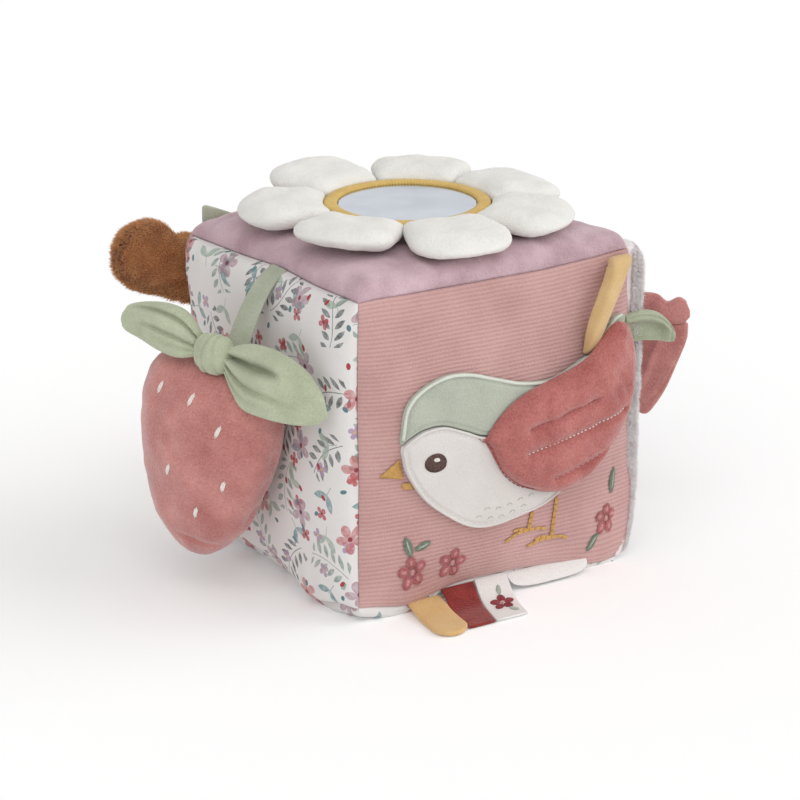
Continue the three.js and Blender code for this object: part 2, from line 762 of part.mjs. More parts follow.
function butterflyWing(side, stationShares) {
  const opening = MathUtils.degToRad(wingOpening) * side;
  const away = new Vector3(Math.cos(opening), Math.sin(opening), 0);
  const reach = butterflyBodyDiameter / 2 + wingSeatGap;
  const root = new Vector3(butterflyBodyX, 0, butterflyMiddleHeight).addScaledVector(away, reach);
  const sections = stationShares.map(([along, low, high, thick]) => ({
    middle: new Vector3(butterflyWingLength * along, (butterflyWingHeight * (low + high)) / 2, 0),
    half: new Vector3(0, (butterflyWingHeight * (high - low)) / 2, 0),
    up: new Vector3(0, 0, 1),
    above: (butterflyWingThickness / 2) * thick,
    below: (butterflyWingThickness / 2) * thick,
  }));
  const up = new Vector3(0, 0, 1);
  return sewnForm(sections, roundSectionShares(12, 0.8), placeIn(root, away, up, away.clone().cross(up)));
}

// Stations up the body: share of its length, share of its radius
const butterflyBodyShares = [
  [0.04, 0.5], [0.14, 0.85], [0.3, 1], [0.55, 0.9], [0.72, 0.75], [0.8, 0.95], [0.92, 0.9], [0.98, 0.5],
];

function addButterfly() {
  const radius = butterflyBodyDiameter / 2;
  const sections = butterflyBodyShares.map(([up, wide]) => ({
    middle: new Vector3(0, butterflyBodyLength * up - butterflyBodyLength / 2, 0),
    half: new Vector3(radius * wide, 0, 0),
    up: new Vector3(0, 0, 1),
    above: radius * wide,
    below: radius * wide,
  }));
  const middle = new Vector3(butterflyBodyX, 0, butterflyMiddleHeight);
  const place = placeIn(middle, new Vector3(0, 1, 0), new Vector3(0, 0, 1), new Vector3(1, 0, 0));
  addNode("butterfly_body", sewnForm(sections, roundSectionShares(10, 1), place), fabrics.mustard);
  for (const [name, side] of [["front", -1], ["back", 1]]) {
    addNode(`butterfly_upper_wing_${name}`, butterflyWing(side, upperWingShares), fabrics.rose);
    addNode(`butterfly_lower_wing_${name}`, butterflyWing(side, lowerWingShares), fabrics.rose);
  }
}

// A flat oval form in sections, laid on the back panel
const ovalShares = [0.03, 0.12, 0.3, 0.5, 0.7, 0.88, 0.97];

function ovalForm(middle, length, width, turn) {
  const angle = MathUtils.degToRad(turn);
  const along = new Vector3(Math.cos(angle), Math.sin(angle), 0);
  const across = new Vector3(-Math.sin(angle), Math.cos(angle), 0);
  const sections = ovalShares.map((share) => ({
    middle: new Vector3(...middle, 0).addScaledVector(along, length * share - length / 2),
    half: across.clone().multiplyScalar(width * Math.sqrt(share * (1 - share))),
    up: new Vector3(0, 0, 1),
    above: squirrelThickness * Math.sqrt(4 * share * (1 - share)),
    below: 0,
  }));
  return sewnForm(sections, appliqueSectionShares, placeOnFace(faces.back));
}

// Where the head sits from the body's top, and the ear from the head, as shares of their own sizes
const headAcrossShare = 0.22;
const headRiseShare = 0.48;
const headTurn = -12; // degrees
const earBackShare = 0.22;
const earRiseShare = 0.76;
const earTurn = 105; // degrees
const earWidthShare = 0.6;

// Stations up the body: share of its height, its back and its front as shares of its width
const squirrelBodyShares = [
  [0, -0.26, 0.42],
  [0.05, -0.42, 0.52],
  [0.14, -0.48, 0.36],
  [0.3, -0.5, 0.3],
  [0.5, -0.46, 0.3],
  [0.7, -0.34, 0.28],
  [0.86, -0.2, 0.25],
  [0.96, -0.06, 0.19],
];

// Stations along the tail: level share and rise share of its length, half width share, thickness share
const squirrelTailShares = [
  [0, 0, 0.38, 0.35],
  [0.1, 0.12, 0.46, 0.55],
  [0.24, 0.29, 0.64, 0.85],
  [0.42, 0.46, 0.88, 1],
  [0.62, 0.575, 0.97, 1],
  [0.8, 0.64, 0.97, 0.95],
  [0.93, 0.675, 0.76, 0.75],
  [0.985, 0.69, 0.46, 0.5],
];
const squirrelTailRootShare = -0.29; // of the half edge

function addSquirrel() {
  const foot = bottomSeamHeight + squirrelFootHeight;
  const rows = squirrelBodyShares.map(([up]) => foot + squirrelBodyHeight * up);
  const backEdge = squirrelBodyShares.map(([, back], i) => [squirrelBodyWidth * back, rows[i]]);
  const frontEdge = squirrelBodyShares.map(([, , front], i) => [squirrelBodyWidth * front, rows[i]]);
  const sections = sectionsBetween(backEdge, frontEdge, () => squirrelThickness, () => 0);
  const body = sewnForm(sections, appliqueSectionShares, placeOnFace(faces.back));
  addNode("squirrel_body", body, fabrics.brownPlush);
  const headX = squirrelHeadLength * headAcrossShare;
  const headZ = foot + squirrelBodyHeight + squirrelHeadWidth * headRiseShare;
  const head = ovalForm([headX, headZ], squirrelHeadLength, squirrelHeadWidth, headTurn);
  addNode("squirrel_head", head, fabrics.brownPlush);
  const earMiddle = [headX - squirrelHeadLength * earBackShare, headZ + squirrelHeadWidth * earRiseShare];
  const ear = ovalForm(earMiddle, squirrelEarLength, squirrelEarLength * earWidthShare, earTurn);
  addNode("squirrel_ear", ear, fabrics.brownPlush);
  addSquirrelTail();
}

function addSquirrelTail() {
  const belowMiddle = (squirrelTailThickness * squirrelTailShares[0][3]) / 2;
  const onBack = placeOnFace(faces.back);
  const root = onBack(new Vector3(halfEdge * squirrelTailRootShare, squirrelTailHeight, belowMiddle));
  const flat = squirrelTailShares.map(([level, rise]) => new Vector3(level, rise, 0));
  const middles = flat.map((p) => p.multiplyScalar(squirrelTailLength));
  const sections = squirrelTailShares.map(([, , wide, thick], i) => {
    const before = middles[Math.max(0, i - 1)];
    const after = middles[Math.min(middles.length - 1, i + 1)];
    const way = after.clone().sub(before).normalize();
    return {
      middle: middles[i],
      half: new Vector3(-way.y, way.x, 0).multiplyScalar((squirrelTailWidth / 2) * wide),
      up: new Vector3(0, 0, 1),
      above: squirrelTailThickness * thick - belowMiddle,
      below: belowMiddle,
    };
  });
  const place = placeIn(root, new Vector3(-1, 0, 0), new Vector3(0, 0, 1), new Vector3(0, 1, 0));
  addNode("squirrel_tail", sewnForm(sections, roundSectionShares(16, 0.8), place), fabrics.brownPlush);
}

// A tab's way from its seam: share of its length outwards, share of its drop to the floor
const tabWayShares = [[0, 0], [0.12, 0.3], [0.27, 0.68], [0.42, 0.92], [0.6, 1], [0.8, 1], [0.92, 1], [1, 1]];
const yellowWidthShares = [1, 1, 1, 1, 1, 1, 0.85, 0.45];
const redWidthShares = [1, 0.98, 0.95, 0.92, 0.89, 0.85, 0.835, 0.82];
const flowerWidthShares = [1, 1, 0.99, 0.985, 0.98, 0.975, 0.97, 0.965];

function addFloorTab(name, order, length, thickness, skew, widthShares, fabric) {
  const left = -tabStart + tabPitch * order;
  const seamY = -halfEdge + seamDip - seatGap;
  const start = bottomSeamHeight + seamDip - seatGap - thickness / 2;
  const drop = start - tabFloorGap - thickness / 2;
  const sections = tabWayShares.map(([out, down], i) => ({
    middle: new Vector3(left + tabWidth / 2 - skew * out, seamY - length * out, start - drop * down),
    half: new Vector3((tabWidth / 2) * widthShares[i], 0, 0),
    up: new Vector3(0, 0, 1),
    above: thickness / 2,
    below: thickness / 2,
  }));
  addNode(name, sewnForm(sections, flatSectionShares), fabric);
}

// Half widths of the label from its seam to its rounded lower edge
const labelShares = [[0, 1], [0.45, 0.99], [0.75, 0.9], [0.93, 0.68], [1, 0.4]];

function addLabel() {
  const left = -tabStart + 3 * tabPitch - tabGap;
  const seamY = -halfEdge + seamDip - seatGap;
  const start = bottomSeamHeight + seamDip - seatGap - ribbonThickness;
  const drop = start - tabFloorGap - ribbonThickness;
  const out = Math.sqrt(labelLength ** 2 - drop ** 2);
  const sections = labelShares.map(([share, wide]) => ({
    middle: new Vector3(left + labelWidth / 2, seamY - out * share, start - drop * share),
    half: new Vector3((labelWidth / 2) * wide, 0, 0),
    up: new Vector3(0, -drop, out).normalize(),
    above: ribbonThickness / 2,
    below: ribbonThickness / 2,
  }));
  addNode("tab_label", sewnForm(sections, flatSectionShares), fabrics.label);
}

// The tab on the back seam stands up, and its free edge slopes down towards the middle.
const sageTabShares = [[-0.5, 1], [-0.38, 1.02], [0, 0.75], [0.38, 0.45], [0.5, 0.34]];

function addSageTab() {
  const seamY = halfEdge - seamDip + seatGap + paddedTabThickness / 2;
  const start = topSeamHeight + seatGap;
  const sections = sageTabShares.map(([across, tall]) => ({
    middle: new Vector3(-sageTabSide + tabWidth * across, seamY, start + (sageTabLength * tall) / 2),
    half: new Vector3(0, 0, (sageTabLength * tall) / 2),
    up: new Vector3(0, 1, 0),
    above: paddedTabThickness / 2,
    below: paddedTabThickness / 2,
  }));
  addNode("tab_sage", sewnForm(sections, flatSectionShares), fabrics.sage);
}

function addTabs() {
  const padded = [yellowTabLength, paddedTabThickness, yellowTabSkew];
  addFloorTab("tab_yellow", 0, ...padded, yellowWidthShares, fabrics.mustard);
  addFloorTab("tab_red", 1, tabLength, ribbonThickness, redTabSkew, redWidthShares, fabrics.wine);
  addFloorTab("tab_flower", 2, tabLength, ribbonThickness, flowerTabSkew, flowerWidthShares, fabrics.label);
  addLabel();
  addSageTab();
}

addPanels();
addFlowerMiddle();
addPetals();
addBerryStrap();
addBerry();
addBow();
addBirdBody();
addBirdWing();
addBirdTail();
addYellowStrap();
addButterfly();
addSquirrel();
addTabs();

export default wholeGroup;
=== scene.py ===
# %% [markdown]
# # A soft fabric block, dressed in cloth, pile and thread
#
# The block is a stuffed cube of six sewn panels, and every panel is another fabric: velour, fine rib,
# printed cotton and fuzzy plush. A padded flower with a mirror lies on top, a strawberry hangs from a strap,
# a bird and a butterfly have loose wings, and ribbon tabs hang from the lower seam.
#
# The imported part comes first, as a fixed frame. Each soft solid in it is then replaced by a finer surface of
# the same form. Lengths are in millimetres in the formulas, and they become metres when a mesh is made.

import json
import math

import bmesh
import bpy
import numpy as np
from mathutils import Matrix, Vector


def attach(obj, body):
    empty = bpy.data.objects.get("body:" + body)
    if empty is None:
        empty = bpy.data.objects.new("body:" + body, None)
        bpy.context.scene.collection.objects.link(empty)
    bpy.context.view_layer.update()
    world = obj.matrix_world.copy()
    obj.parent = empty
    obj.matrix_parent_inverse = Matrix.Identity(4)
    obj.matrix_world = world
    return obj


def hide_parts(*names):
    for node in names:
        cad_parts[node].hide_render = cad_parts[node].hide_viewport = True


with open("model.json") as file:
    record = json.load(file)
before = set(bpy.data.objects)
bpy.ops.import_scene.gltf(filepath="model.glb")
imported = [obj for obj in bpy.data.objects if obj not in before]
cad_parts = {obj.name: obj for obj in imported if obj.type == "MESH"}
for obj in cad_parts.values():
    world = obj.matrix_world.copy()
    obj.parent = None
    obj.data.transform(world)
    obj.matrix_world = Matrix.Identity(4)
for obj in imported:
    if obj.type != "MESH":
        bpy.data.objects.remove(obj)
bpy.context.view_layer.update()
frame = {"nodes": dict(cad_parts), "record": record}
MM = 0.001
chance = np.random.default_rng(11)

# %% [markdown]
# ## The form of the stuffed block
#
# The panels, and all that is sewn on them, share one surface. A point on a unit cube is pushed out by its
# panel's swell, which is full in the middle and falls to nothing at the seams. The seams bow in a little
# between the corners. One formula gives the place of every panel, patch and stitch, so nothing has to be
# fitted by eye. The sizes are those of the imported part.

# %% The block's sizes and its skin
block_edge = 140.0
half_edge = block_edge / 2
bottom_seam_height = 8.0
block_middle = bottom_seam_height + half_edge
seam_dip = 1.0
corner_pull = 0.01
corner_power = 4
seam_power = 8
sewn_gap = 0.4
seat_gap = 0.3
panel_thickness = 2.2


def unit(vectors):
    return vectors / np.maximum(np.linalg.norm(vectors, axis=-1, keepdims=True), 1e-9)


def even_angles(count):
    """Angles in even steps round a circle."""
    return np.arange(count) * math.tau / count


def soft_noise(points, length, seed, waves=14):
    """A smooth random height for each point: the mean of sine waves in random directions, about length long."""
    draw = np.random.default_rng(seed)
    way = unit(draw.normal(size=(3, waves)).T).T * math.tau / (length * draw.uniform(0.7, 1.5, waves))
    return np.sin(points @ way + draw.uniform(0, math.tau, waves)).sum(-1) / math.sqrt(waves)


# Each face: its axis, the way it looks, its crown, and the two powers of its swell
FACES = {
    "left": (0, -1, 10.0, 5, 0.3),
    "right": (0, 1, 17.0, 5, 0.27),
    "front": (1, -1, 8.0, 3, 0.6),
    "back": (1, 1, 10.0, 5, 0.27),
    "bottom": (2, -1, 8.5, 8, 0.22),
    "top": (2, 1, 11.0, 5, 0.27),
}


def block_skin(q):
    """The skin's point for a point q on the unit cube. Along each axis it is the half edge times q, plus the
    crown times ((1 - a^p)(1 - b^p))^s, where a and b are the other two coordinates and p and s are the powers
    of the swell, less the dip of the seams."""
    size = np.abs(q)
    pull = 1 - corner_pull * size.prod(-1) ** corner_power
    point = np.empty_like(q)
    for axis in range(3):
        low, high = (next(f[2:] for f in FACES.values() if f[:2] == (axis, way)) for way in (-1, 1))
        crown, square, steep = (np.where(q[..., axis] < 0, low[k], high[k]) for k in range(3))
        a, b = (size[..., other] for other in range(3) if other != axis)
        swell = crown * np.clip((1 - a**square) * (1 - b**square), 0, None) ** steep
        near_seam = a**seam_power * (1 - b**2) + b**seam_power * (1 - a**2)
        dip = seam_dip * size[..., axis] ** seam_power * near_seam
        point[..., axis] = half_edge * q[..., axis] * pull + np.sign(q[..., axis]) * (swell - dip)
    point[..., 2] = np.maximum(point[..., 2] + block_middle, 0)
    return point


# %% [markdown]
# ## Slack in the cloth
#
# Stuffed cloth is never smooth. It has long, shallow waves where the filling is uneven, and short puckers at
# the seams, where the thread draws it in. A cloth simulation could make them, but they would then differ from
# panel to panel and the patches could not follow. A few sine waves of chosen lengths do the same on every
# panel, and the patches read the same waves.

# %% Waves and puckers
wave_reach = 0.34
pucker_reach = 10.0
seam_drift = 0.35
# Where the seams sag or are drawn in: a corner or middle, how far the sag reaches, and where the cloth goes
sags = np.array([
    [[-43, -70, -70], [19, 9, 10], [0, 0, -4.6]],
    [[-70, -40, -70], [12, 17, 13], [-1.5, 0, -5.5]],
    [[60, -70, -70], [27, 9, 12], [0, 0, -7.4]],
    [[-70, 70, 70], [50, 60, 30], [-4, 0, -2.4]],
    [[70, -62, 70], [12, 13, 18], [2.5, -0.5, 3.4]],
], float)
slack = {}
for name, (tall, puckered) in {
    "left": (0.5, 0.55), "right": (0.4, 0.5), "front": (0.3, 0.28),
    "back": (0.45, 0.5), "bottom": (0.2, 0.4), "top": (0.85, 1.4),
}.items():
    turn = chance.uniform(0, math.tau, 7)
    length = chance.uniform(38, 95, 7)
    slack[name] = {
        "tall": tall,
        "puckered": puckered,
        "way": np.stack([np.cos(turn), np.sin(turn)]) * math.tau / length,
        "start": chance.uniform(0, math.tau, 7),
        "seam_length": chance.uniform(9, 24, (4, 5)),
        "seam_start": chance.uniform(0, math.tau, (4, 5)),
    }


def slack_height(name, u, v):
    """How far the cloth stands off its ideal form: a sum of long sine waves, held to nothing at the seams, plus
    short waves along each seam that fade with the distance from it."""
    kind = slack[name]
    x, y = u * half_edge, v * half_edge
    way = kind["way"]
    waves = np.sin(x[..., None] * way[0] + y[..., None] * way[1] + kind["start"]).sum(-1)
    height = kind["tall"] * wave_reach * waves * (1 - u**6) * (1 - v**6)
    for side, (along, across) in enumerate(((x, v), (x, -v), (y, u), (y, -u))):
        distance = (1 - across) * half_edge
        length, start = kind["seam_length"][side], kind["seam_start"][side]
        ripple = np.sin(along[..., None] * math.tau / length + start).mean(-1)
        fade = np.exp(-distance / pucker_reach) * (1 - np.exp(-distance / 2))
        height = height + kind["puckered"] * 2 * ripple * fade * (1 - (along / half_edge) ** 8)
    return height


def wander(q):
    """How far hand-guided sewing leaves the ideal form, alike for the two faces that meet at a seam: a smooth
    drift of half a millimetre, and the sags, each a bell curve of the way from its middle."""
    place = q * half_edge
    drift = np.stack([soft_noise(place, 44, 21 + axis) for axis in range(3)], -1) * seam_drift
    for middle, reach, shift in sags:
        drift = drift + shift * np.exp(-(((place - middle) / reach) ** 2).sum(-1))[..., None]
    return drift


def on_face(name, u, v, lift=0.0):
    """The point at (u, v) of one face, both from -1 to 1, with its slack, and lift millimetres above it."""
    axis, way = FACES[name][:2]
    q = np.stack(np.broadcast_arrays(u, v), -1).astype(float)
    q = np.insert(q, axis, way, axis=-1)
    point = block_skin(q) + wander(q)
    point[..., axis] += way * (slack_height(name, *np.broadcast_arrays(u, v)) + lift)
    point[..., 2] = np.maximum(point[..., 2], 0)
    return point


def sewn_on(name, across, up, lift=0.0):
    """A place on an upright panel, in millimetres from its middle line and above the floor. It stands lift off the
    skin, on top of the gap that every sewn piece keeps."""
    return on_face(name, across / half_edge, (up - block_middle) / half_edge, sewn_gap + lift)


print("middle of the front:", sewn_on("front", np.array(0.0), np.array(block_middle)).round(1))

# %% [markdown]
# ## From arrays to meshes
#
# A surface is an array of points: rows of rings, or a sheet. These helpers turn it into a mesh with
# `foreach_set`, so that no loop runs over the points. Rings are closed by a point at each end, and the order
# of a face's corners is turned round if the enclosed volume comes out negative.

# %% Mesh helpers
BODY_OF = {node: body for body, nodes in frame["record"]["behaviour"]["bodies"].items() for node in nodes}
SLOT_OF = {s["node"]: s["material_slot"] for s in frame["record"]["subparts"]}


def new_mesh(name, points, faces, uv=None):
    """A smooth mesh object from points in millimetres and faces of four corners, where a triangle repeats its
    last corner. uv has one pair for each point."""
    mesh = bpy.data.meshes.new(name)
    counts = np.where(faces[:, 2] == faces[:, 3], 3, 4)
    keep = np.ones(faces.shape, bool)
    keep[:, 3] = counts == 4
    loops = faces[keep]
    mesh.vertices.add(len(points))
    mesh.vertices.foreach_set("co", (points * MM).astype(np.float32).ravel())
    mesh.loops.add(len(loops))
    mesh.loops.foreach_set("vertex_index", loops.astype(np.int32))
    mesh.polygons.add(len(faces))
    mesh.polygons.foreach_set("loop_start", np.concatenate([[0], np.cumsum(counts)[:-1]]).astype(np.int32))
    mesh.polygons.foreach_set("use_smooth", np.ones(len(faces), bool))
    if uv is not None:
        layer = mesh.uv_layers.new(name="cloth")
        layer.data.foreach_set("uv", uv[loops].astype(np.float32).ravel())
    mesh.update(calc_edges=True)
    mesh.validate()
    piece = bpy.data.objects.new(name, mesh)
    bpy.context.scene.collection.objects.link(piece)
    return piece


def ring_faces(rings, around):
    """The faces of a skin through rings, with a point before the first ring and one after the last."""
    i = np.arange(around)
    j = (i + 1) % around
    near = 1 + around * np.arange(rings - 1)[:, None]
    side = np.stack([near + i, near + j, near + around + j, near + around + i], -1).reshape(-1, 4)
    last = 1 + around * (rings - 1)
    end = last + around
    first_fan = np.stack([0 * i, 1 + j, 1 + i, 1 + i], -1)
    last_fan = np.stack([last + i, last + j, 0 * i + end, 0 * i + end], -1)
    return np.concatenate([first_fan, side, last_fan])


def outward(points, faces):
    """The same faces, turned round if the volume that they enclose comes out negative."""
    a, b, c = (points[corner] for corner in np.concatenate([faces[:, :3], faces[:, [0, 2, 3]]]).T)
    if (a * np.cross(b, c)).sum() > 0:
        return faces
    flipped = faces[:, ::-1].copy()
    triangle = faces[:, 2] == faces[:, 3]
    flipped[triangle] = faces[triangle][:, [1, 0, 2, 2]]
    return flipped


def ringed(name, rings, first=None, last=None, uv=None):
    """A closed piece through rings, an array of rows, points around and x, y, z."""
    first = rings[0].mean(0) if first is None else first
    last = rings[-1].mean(0) if last is None else last
    points = np.concatenate([[first], rings.reshape(-1, 3), [last]])
    if uv is not None:
        uv = np.concatenate([[uv[0].mean(0)], uv.reshape(-1, 2), [uv[-1].mean(0)]])
    return new_mesh(name, points, outward(points, ring_faces(*rings.shape[:2])), uv)


def sheet_faces(rows, columns):
    """The faces of an open sheet of rows by columns."""
    corner = np.arange(rows - 1)[:, None] * columns + np.arange(columns - 1)
    return np.stack([corner, corner + 1, corner + columns + 1, corner + columns], -1).reshape(-1, 4)


def dress(piece, finish, *nodes, slot=None, body=None, fill=None):
    """Gives a piece its material, hides the nodes that it stands for, and hangs it on the body that it rides on."""
    piece.data.materials.append(finish)
    if nodes:
        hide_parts(*nodes)
        slot = slot or SLOT_OF[nodes[0]]
        body = body or BODY_OF[nodes[0]]
    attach(piece, body or "block")
    return piece


def curve_through(stations, steps):
    """A smooth curve through stations, one row each: at every step, the Catmull-Rom blend of the four stations
    round it."""
    stations = np.asarray(stations, float)
    padded = np.concatenate([[2 * stations[0] - stations[1]], stations, [2 * stations[-1] - stations[-2]]])
    place = np.linspace(0, len(stations) - 1, steps)
    k = np.minimum(place.astype(int), len(stations) - 2)
    t = (place - k)[:, None]
    p0, p1, p2, p3 = (padded[k + n] for n in range(4))
    return 0.5 * (
        2 * p1 + (p2 - p0) * t + (2 * p0 - 5 * p1 + 4 * p2 - p3) * t**2 + (3 * p1 - p0 - 3 * p2 + p3) * t**3
    )


print("slots:", len(SLOT_OF))

# %% [markdown]
# ## Finishes from shader nodes
#
# A finish is a small graph of shader nodes. Writing the graph node by node hides the idea, so `Value` lets a
# formula be written as one: adding, multiplying or comparing two of them makes the Math nodes. Patterns read
# the piece's own UV map, in millimetres of cloth, or Object coordinates, which are metres here.

# %% A small language for shader formulas
class Value:
    """A number that shader nodes work out."""

    def __init__(self, tree, socket):
        self.tree, self.socket = tree, socket

    def math(self, operation, *others):
        node = self.tree.nodes.new("ShaderNodeMath")
        node.operation = operation
        for entry, value in zip(node.inputs, (self, *others)):
            feed(self.tree, entry, value)
        return Value(self.tree, node.outputs[0])

    def __add__(self, other):
        return self.math("ADD", other)

    def __sub__(self, other):
        return self.math("SUBTRACT", other)

    def __mul__(self, other):
        return self.math("MULTIPLY", other)

    def __truediv__(self, other):
        return self.math("DIVIDE", other)

    def __lt__(self, other):
        return self.math("LESS_THAN", other)

    def __gt__(self, other):
        return self.math("GREATER_THAN", other)

    __radd__ = __add__
    __rmul__ = __mul__


def feed(tree, entry, value):
    """Sets a socket to a number, a colour, or the output that a value or another socket brings."""
    if isinstance(value, Value):
        tree.links.new(value.socket, entry)
    elif isinstance(value, bpy.types.NodeSocket):
        tree.links.new(value, entry)
    else:
        entry.default_value = value


def node(tree, kind, inputs=(), **settings):
    """A node of a kind, with its own settings and a dictionary of what goes into it."""
    made = tree.nodes.new("ShaderNode" + kind)
    for setting, value in settings.items():
        setattr(made, setting, value)
    for entry, value in dict(inputs).items():
        feed(tree, made.inputs[entry], value)
    return made


def colour(hex_code):
    """A colour written as on a paint card, turned to the linear values that shaders use."""
    part = np.array([int(hex_code[k:k + 2], 16) for k in (0, 2, 4)]) / 255
    linear = np.where(part <= 0.04045, part / 12.92, ((part + 0.055) / 1.055) ** 2.4)
    return (*linear, 1.0)


def blend_colours(tree, share, low, high):
    mixed = node(tree, "Mix", data_type="RGBA")
    feed(tree, mixed.inputs[0], share)
    feed(tree, mixed.inputs[6], low)
    feed(tree, mixed.inputs[7], high)
    return mixed.outputs[2]


def speckle(tree, coordinates, length_mm, detail=2.0, roughness=0.5, metres=True):
    """Noise with features about length_mm across."""
    scale = 1000 / length_mm if metres else 1 / length_mm
    made = node(tree, "TexNoise", {"Vector": coordinates, "Scale": scale, "Detail": detail,
                                   "Roughness": roughness})
    return Value(tree, made.outputs["Fac"])


def contrast(value, low, high):
    """Stretches a value so that low becomes 0 and high becomes 1."""
    made = node(value.tree, "MapRange", {"Value": value, "From Min": low, "From Max": high})
    return Value(value.tree, made.outputs["Result"])


def finish_of(name, **sockets):
    """A new material with its shader: the material, its tree, the shader and where coordinates come out. Each
    named socket of the shader is set to a plain number or colour; an underscore stands for a space in its name."""
    material = bpy.data.materials.new(name)
    material.use_nodes = True
    tree = material.node_tree
    tree.nodes.clear()
    shader = node(tree, "BsdfPrincipled", {socket.replace("_", " "): value for socket, value in sockets.items()})
    output = node(tree, "OutputMaterial")
    tree.links.new(shader.outputs["BSDF"], output.inputs["Surface"])
    return material, tree, shader, node(tree, "TexCoord")


def colour_between(tree, shader, share, dark, light):
    feed(tree, shader.inputs["Base Color"], blend_colours(tree, share, colour(dark), colour(light)))


def raise_cloth(tree, shader, height, depth_mm):
    """Bump from a height between 0 and 1 that stands for depth_mm."""
    bump = node(tree, "Bump", {"Height": height, "Distance": depth_mm * MM, "Strength": 1.0})
    tree.links.new(bump.outputs["Normal"], shader.inputs["Normal"])


# %% [markdown]
# ## Velour
#
# Velour is a knit with a cut pile of half a millimetre. Seen from a step away it has cloudy lighter and darker
# areas, where the pile was stroked another way, a fine grain, and a pale sheen at its edges. So the
# colour mixes a dark and a light tone by two noises, the grain gives a small bump, and the shader's sheen
# lights the rim.

# %% Velour
def velour(name, dark, light, cloud_mm, cloud=0.55, grain_mm=0.9, grain=0.45, depth_mm=0.25, sheen=0.35):
    """A cut-pile cloth between two tones."""
    material, tree, shader, place = finish_of(name, Roughness=0.95, Specular_IOR_Level=0.15, Sheen_Weight=sheen,
                                              Sheen_Roughness=0.45)
    coordinates = place.outputs["Object"]
    clouds = contrast(speckle(tree, coordinates, cloud_mm, 3.0), 0.3, 0.7)
    grains = contrast(speckle(tree, coordinates, grain_mm, 2.0, 0.6), 0.25, 0.75)
    share = clouds * cloud + grains * grain + (1 - cloud - grain) / 2
    colour_between(tree, shader, share, dark, light)
    raise_cloth(tree, shader, grains, depth_mm)
    return material


lavender_velour = velour("lavender_velour", "A5858D", "DBBFC8", cloud_mm=20, cloud=0.66, grain=0.26)
white_velour = velour("white_velour", "DFDDD7", "F0EEE9", cloud_mm=13, cloud=0.4, grain=0.4, depth_mm=0.22,
                      sheen=0.25)
cream_velour = velour("cream_velour", "CFCAC6", "DFDBD7", cloud_mm=16, cloud=0.35, grain=0.35, depth_mm=0.15,
                      sheen=0.15)
rose_velour = velour("rose_velour", "8F4542", "C67F79", cloud_mm=14, cloud=0.45, grain=0.55, sheen=0.5)
berry_velour = velour("berry_velour", "9E5A55", "D99993", cloud_mm=17, cloud=0.5, grain=0.5, sheen=0.6)
sage_velour = velour("sage_velour", "A1A88D", "C8CEB3", cloud_mm=14, cloud=0.45, grain=0.45)
sage_cloth = velour("sage_cloth", "A0A590", "C0C4B1", cloud_mm=10, cloud=0.4, grain=0.4, sheen=0.25)
cap_velour = velour("cap_velour", "A3A99B", "BCC1B2", cloud_mm=12, cloud=0.45, grain=0.45)
# A paler copy of the cap's velour for its rolled edge: a painted highlight along the roll.
cap_edge_velour = velour("cap_edge_velour", "C9CEC0", "E2E5DC", cloud_mm=10, cloud=0.3, grain=0.4, sheen=0.25)
sand_velour = velour("sand_velour", "C2B29C", "DCCDB9", cloud_mm=20, cloud=0.5, grain=0.4)
wine_velvet = velour("wine_velvet", "702320", "A03D37", cloud_mm=7, cloud=0.5, grain=0.4, sheen=0.3)
mustard_cloth = velour("mustard_cloth", "CBA268", "E0BD86", cloud_mm=12, cloud=0.4, grain=0.35, sheen=0.25)
fibre = velour("fibre", "E8E6E2", "F4F3F0", cloud_mm=8)

# %% [markdown]
# ## Thread
#
# Embroidery thread is twisted and shines a little along its length. Each stitch is a real little bar of
# thread, so its finish only needs a fine streak and a low sheen.

# %% Thread
def thread(name, dark, light):
    material, tree, shader, place = finish_of(name, Roughness=0.55, Specular_IOR_Level=0.3)
    streaks = contrast(speckle(tree, place.outputs["Object"], 0.8, 2.0), 0.3, 0.7)
    colour_between(tree, shader, streaks, dark, light)
    raise_cloth(tree, shader, streaks, 0.06)
    return material


white_thread = thread("white_thread", "DCD4CC", "F4EFE8")
mustard_thread = thread("mustard_thread", "BA8D4C", "D8AE6C")
brown_thread = thread("brown_thread", "4A3532", "6E5450")
rose_thread = thread("rose_thread", "84403F", "A85C59")
red_thread = thread("red_thread", "A65A5F", "C47F81")
pink_thread = thread("pink_thread", "BE8482", "DDAAA6")
green_thread = thread("green_thread", "6A7B6C", "8A9986")
grey_thread = thread("grey_thread", "A3AA9D", "BFC4B7")

# The record's slot that each thread goes with
thread_slots = {
    "white_thread": "white_velour", "mustard_thread": "mustard_satin", "brown_thread": "brown_plush",
    "rose_thread": "rose_velour", "red_thread": "rose_velour", "pink_thread": "rose_velour",
    "green_thread": "sage_velour", "grey_thread": "sage_velour", "wine_thread": "wine_ribbon",
}

# %% [markdown]
# ## Ribbed cloth
#
# The front is a fine horizontal rib. The ribs themselves are in the mesh. The colour follows them through the
# UV map, whose second number counts ribs: the hollows are painted darker, partly as painted shade, because less
# light gets in, and partly because the backing shows.

# %% Rib
rib_pitch = 1.9


def ribbed(name, hollow, crest):
    material, tree, shader, place = finish_of(name, Roughness=0.95, Specular_IOR_Level=0.15, Sheen_Weight=0.25)
    parts = node(tree, "SeparateXYZ", {"Vector": place.outputs["UV"]})
    phase = Value(tree, parts.outputs["Y"]) * math.tau
    wave = phase.math("COSINE") * 0.5 + 0.5
    grain = contrast(speckle(tree, place.outputs["Object"], 0.8, 3.0, 0.6), 0.3, 0.7)
    clouds = contrast(speckle(tree, place.outputs["Object"], 26, 3.0), 0.3, 0.7)
    # The rib wave paints the hollows darker: painted shade, and partly the backing that shows there.
    share = wave * 0.36 + grain * 0.26 + clouds * 0.38
    colour_between(tree, shader, share, hollow, crest)
    raise_cloth(tree, shader, grain, 0.15)
    return material


pink_rib = ribbed("pink_rib", "AE8280", "D3ACA7")

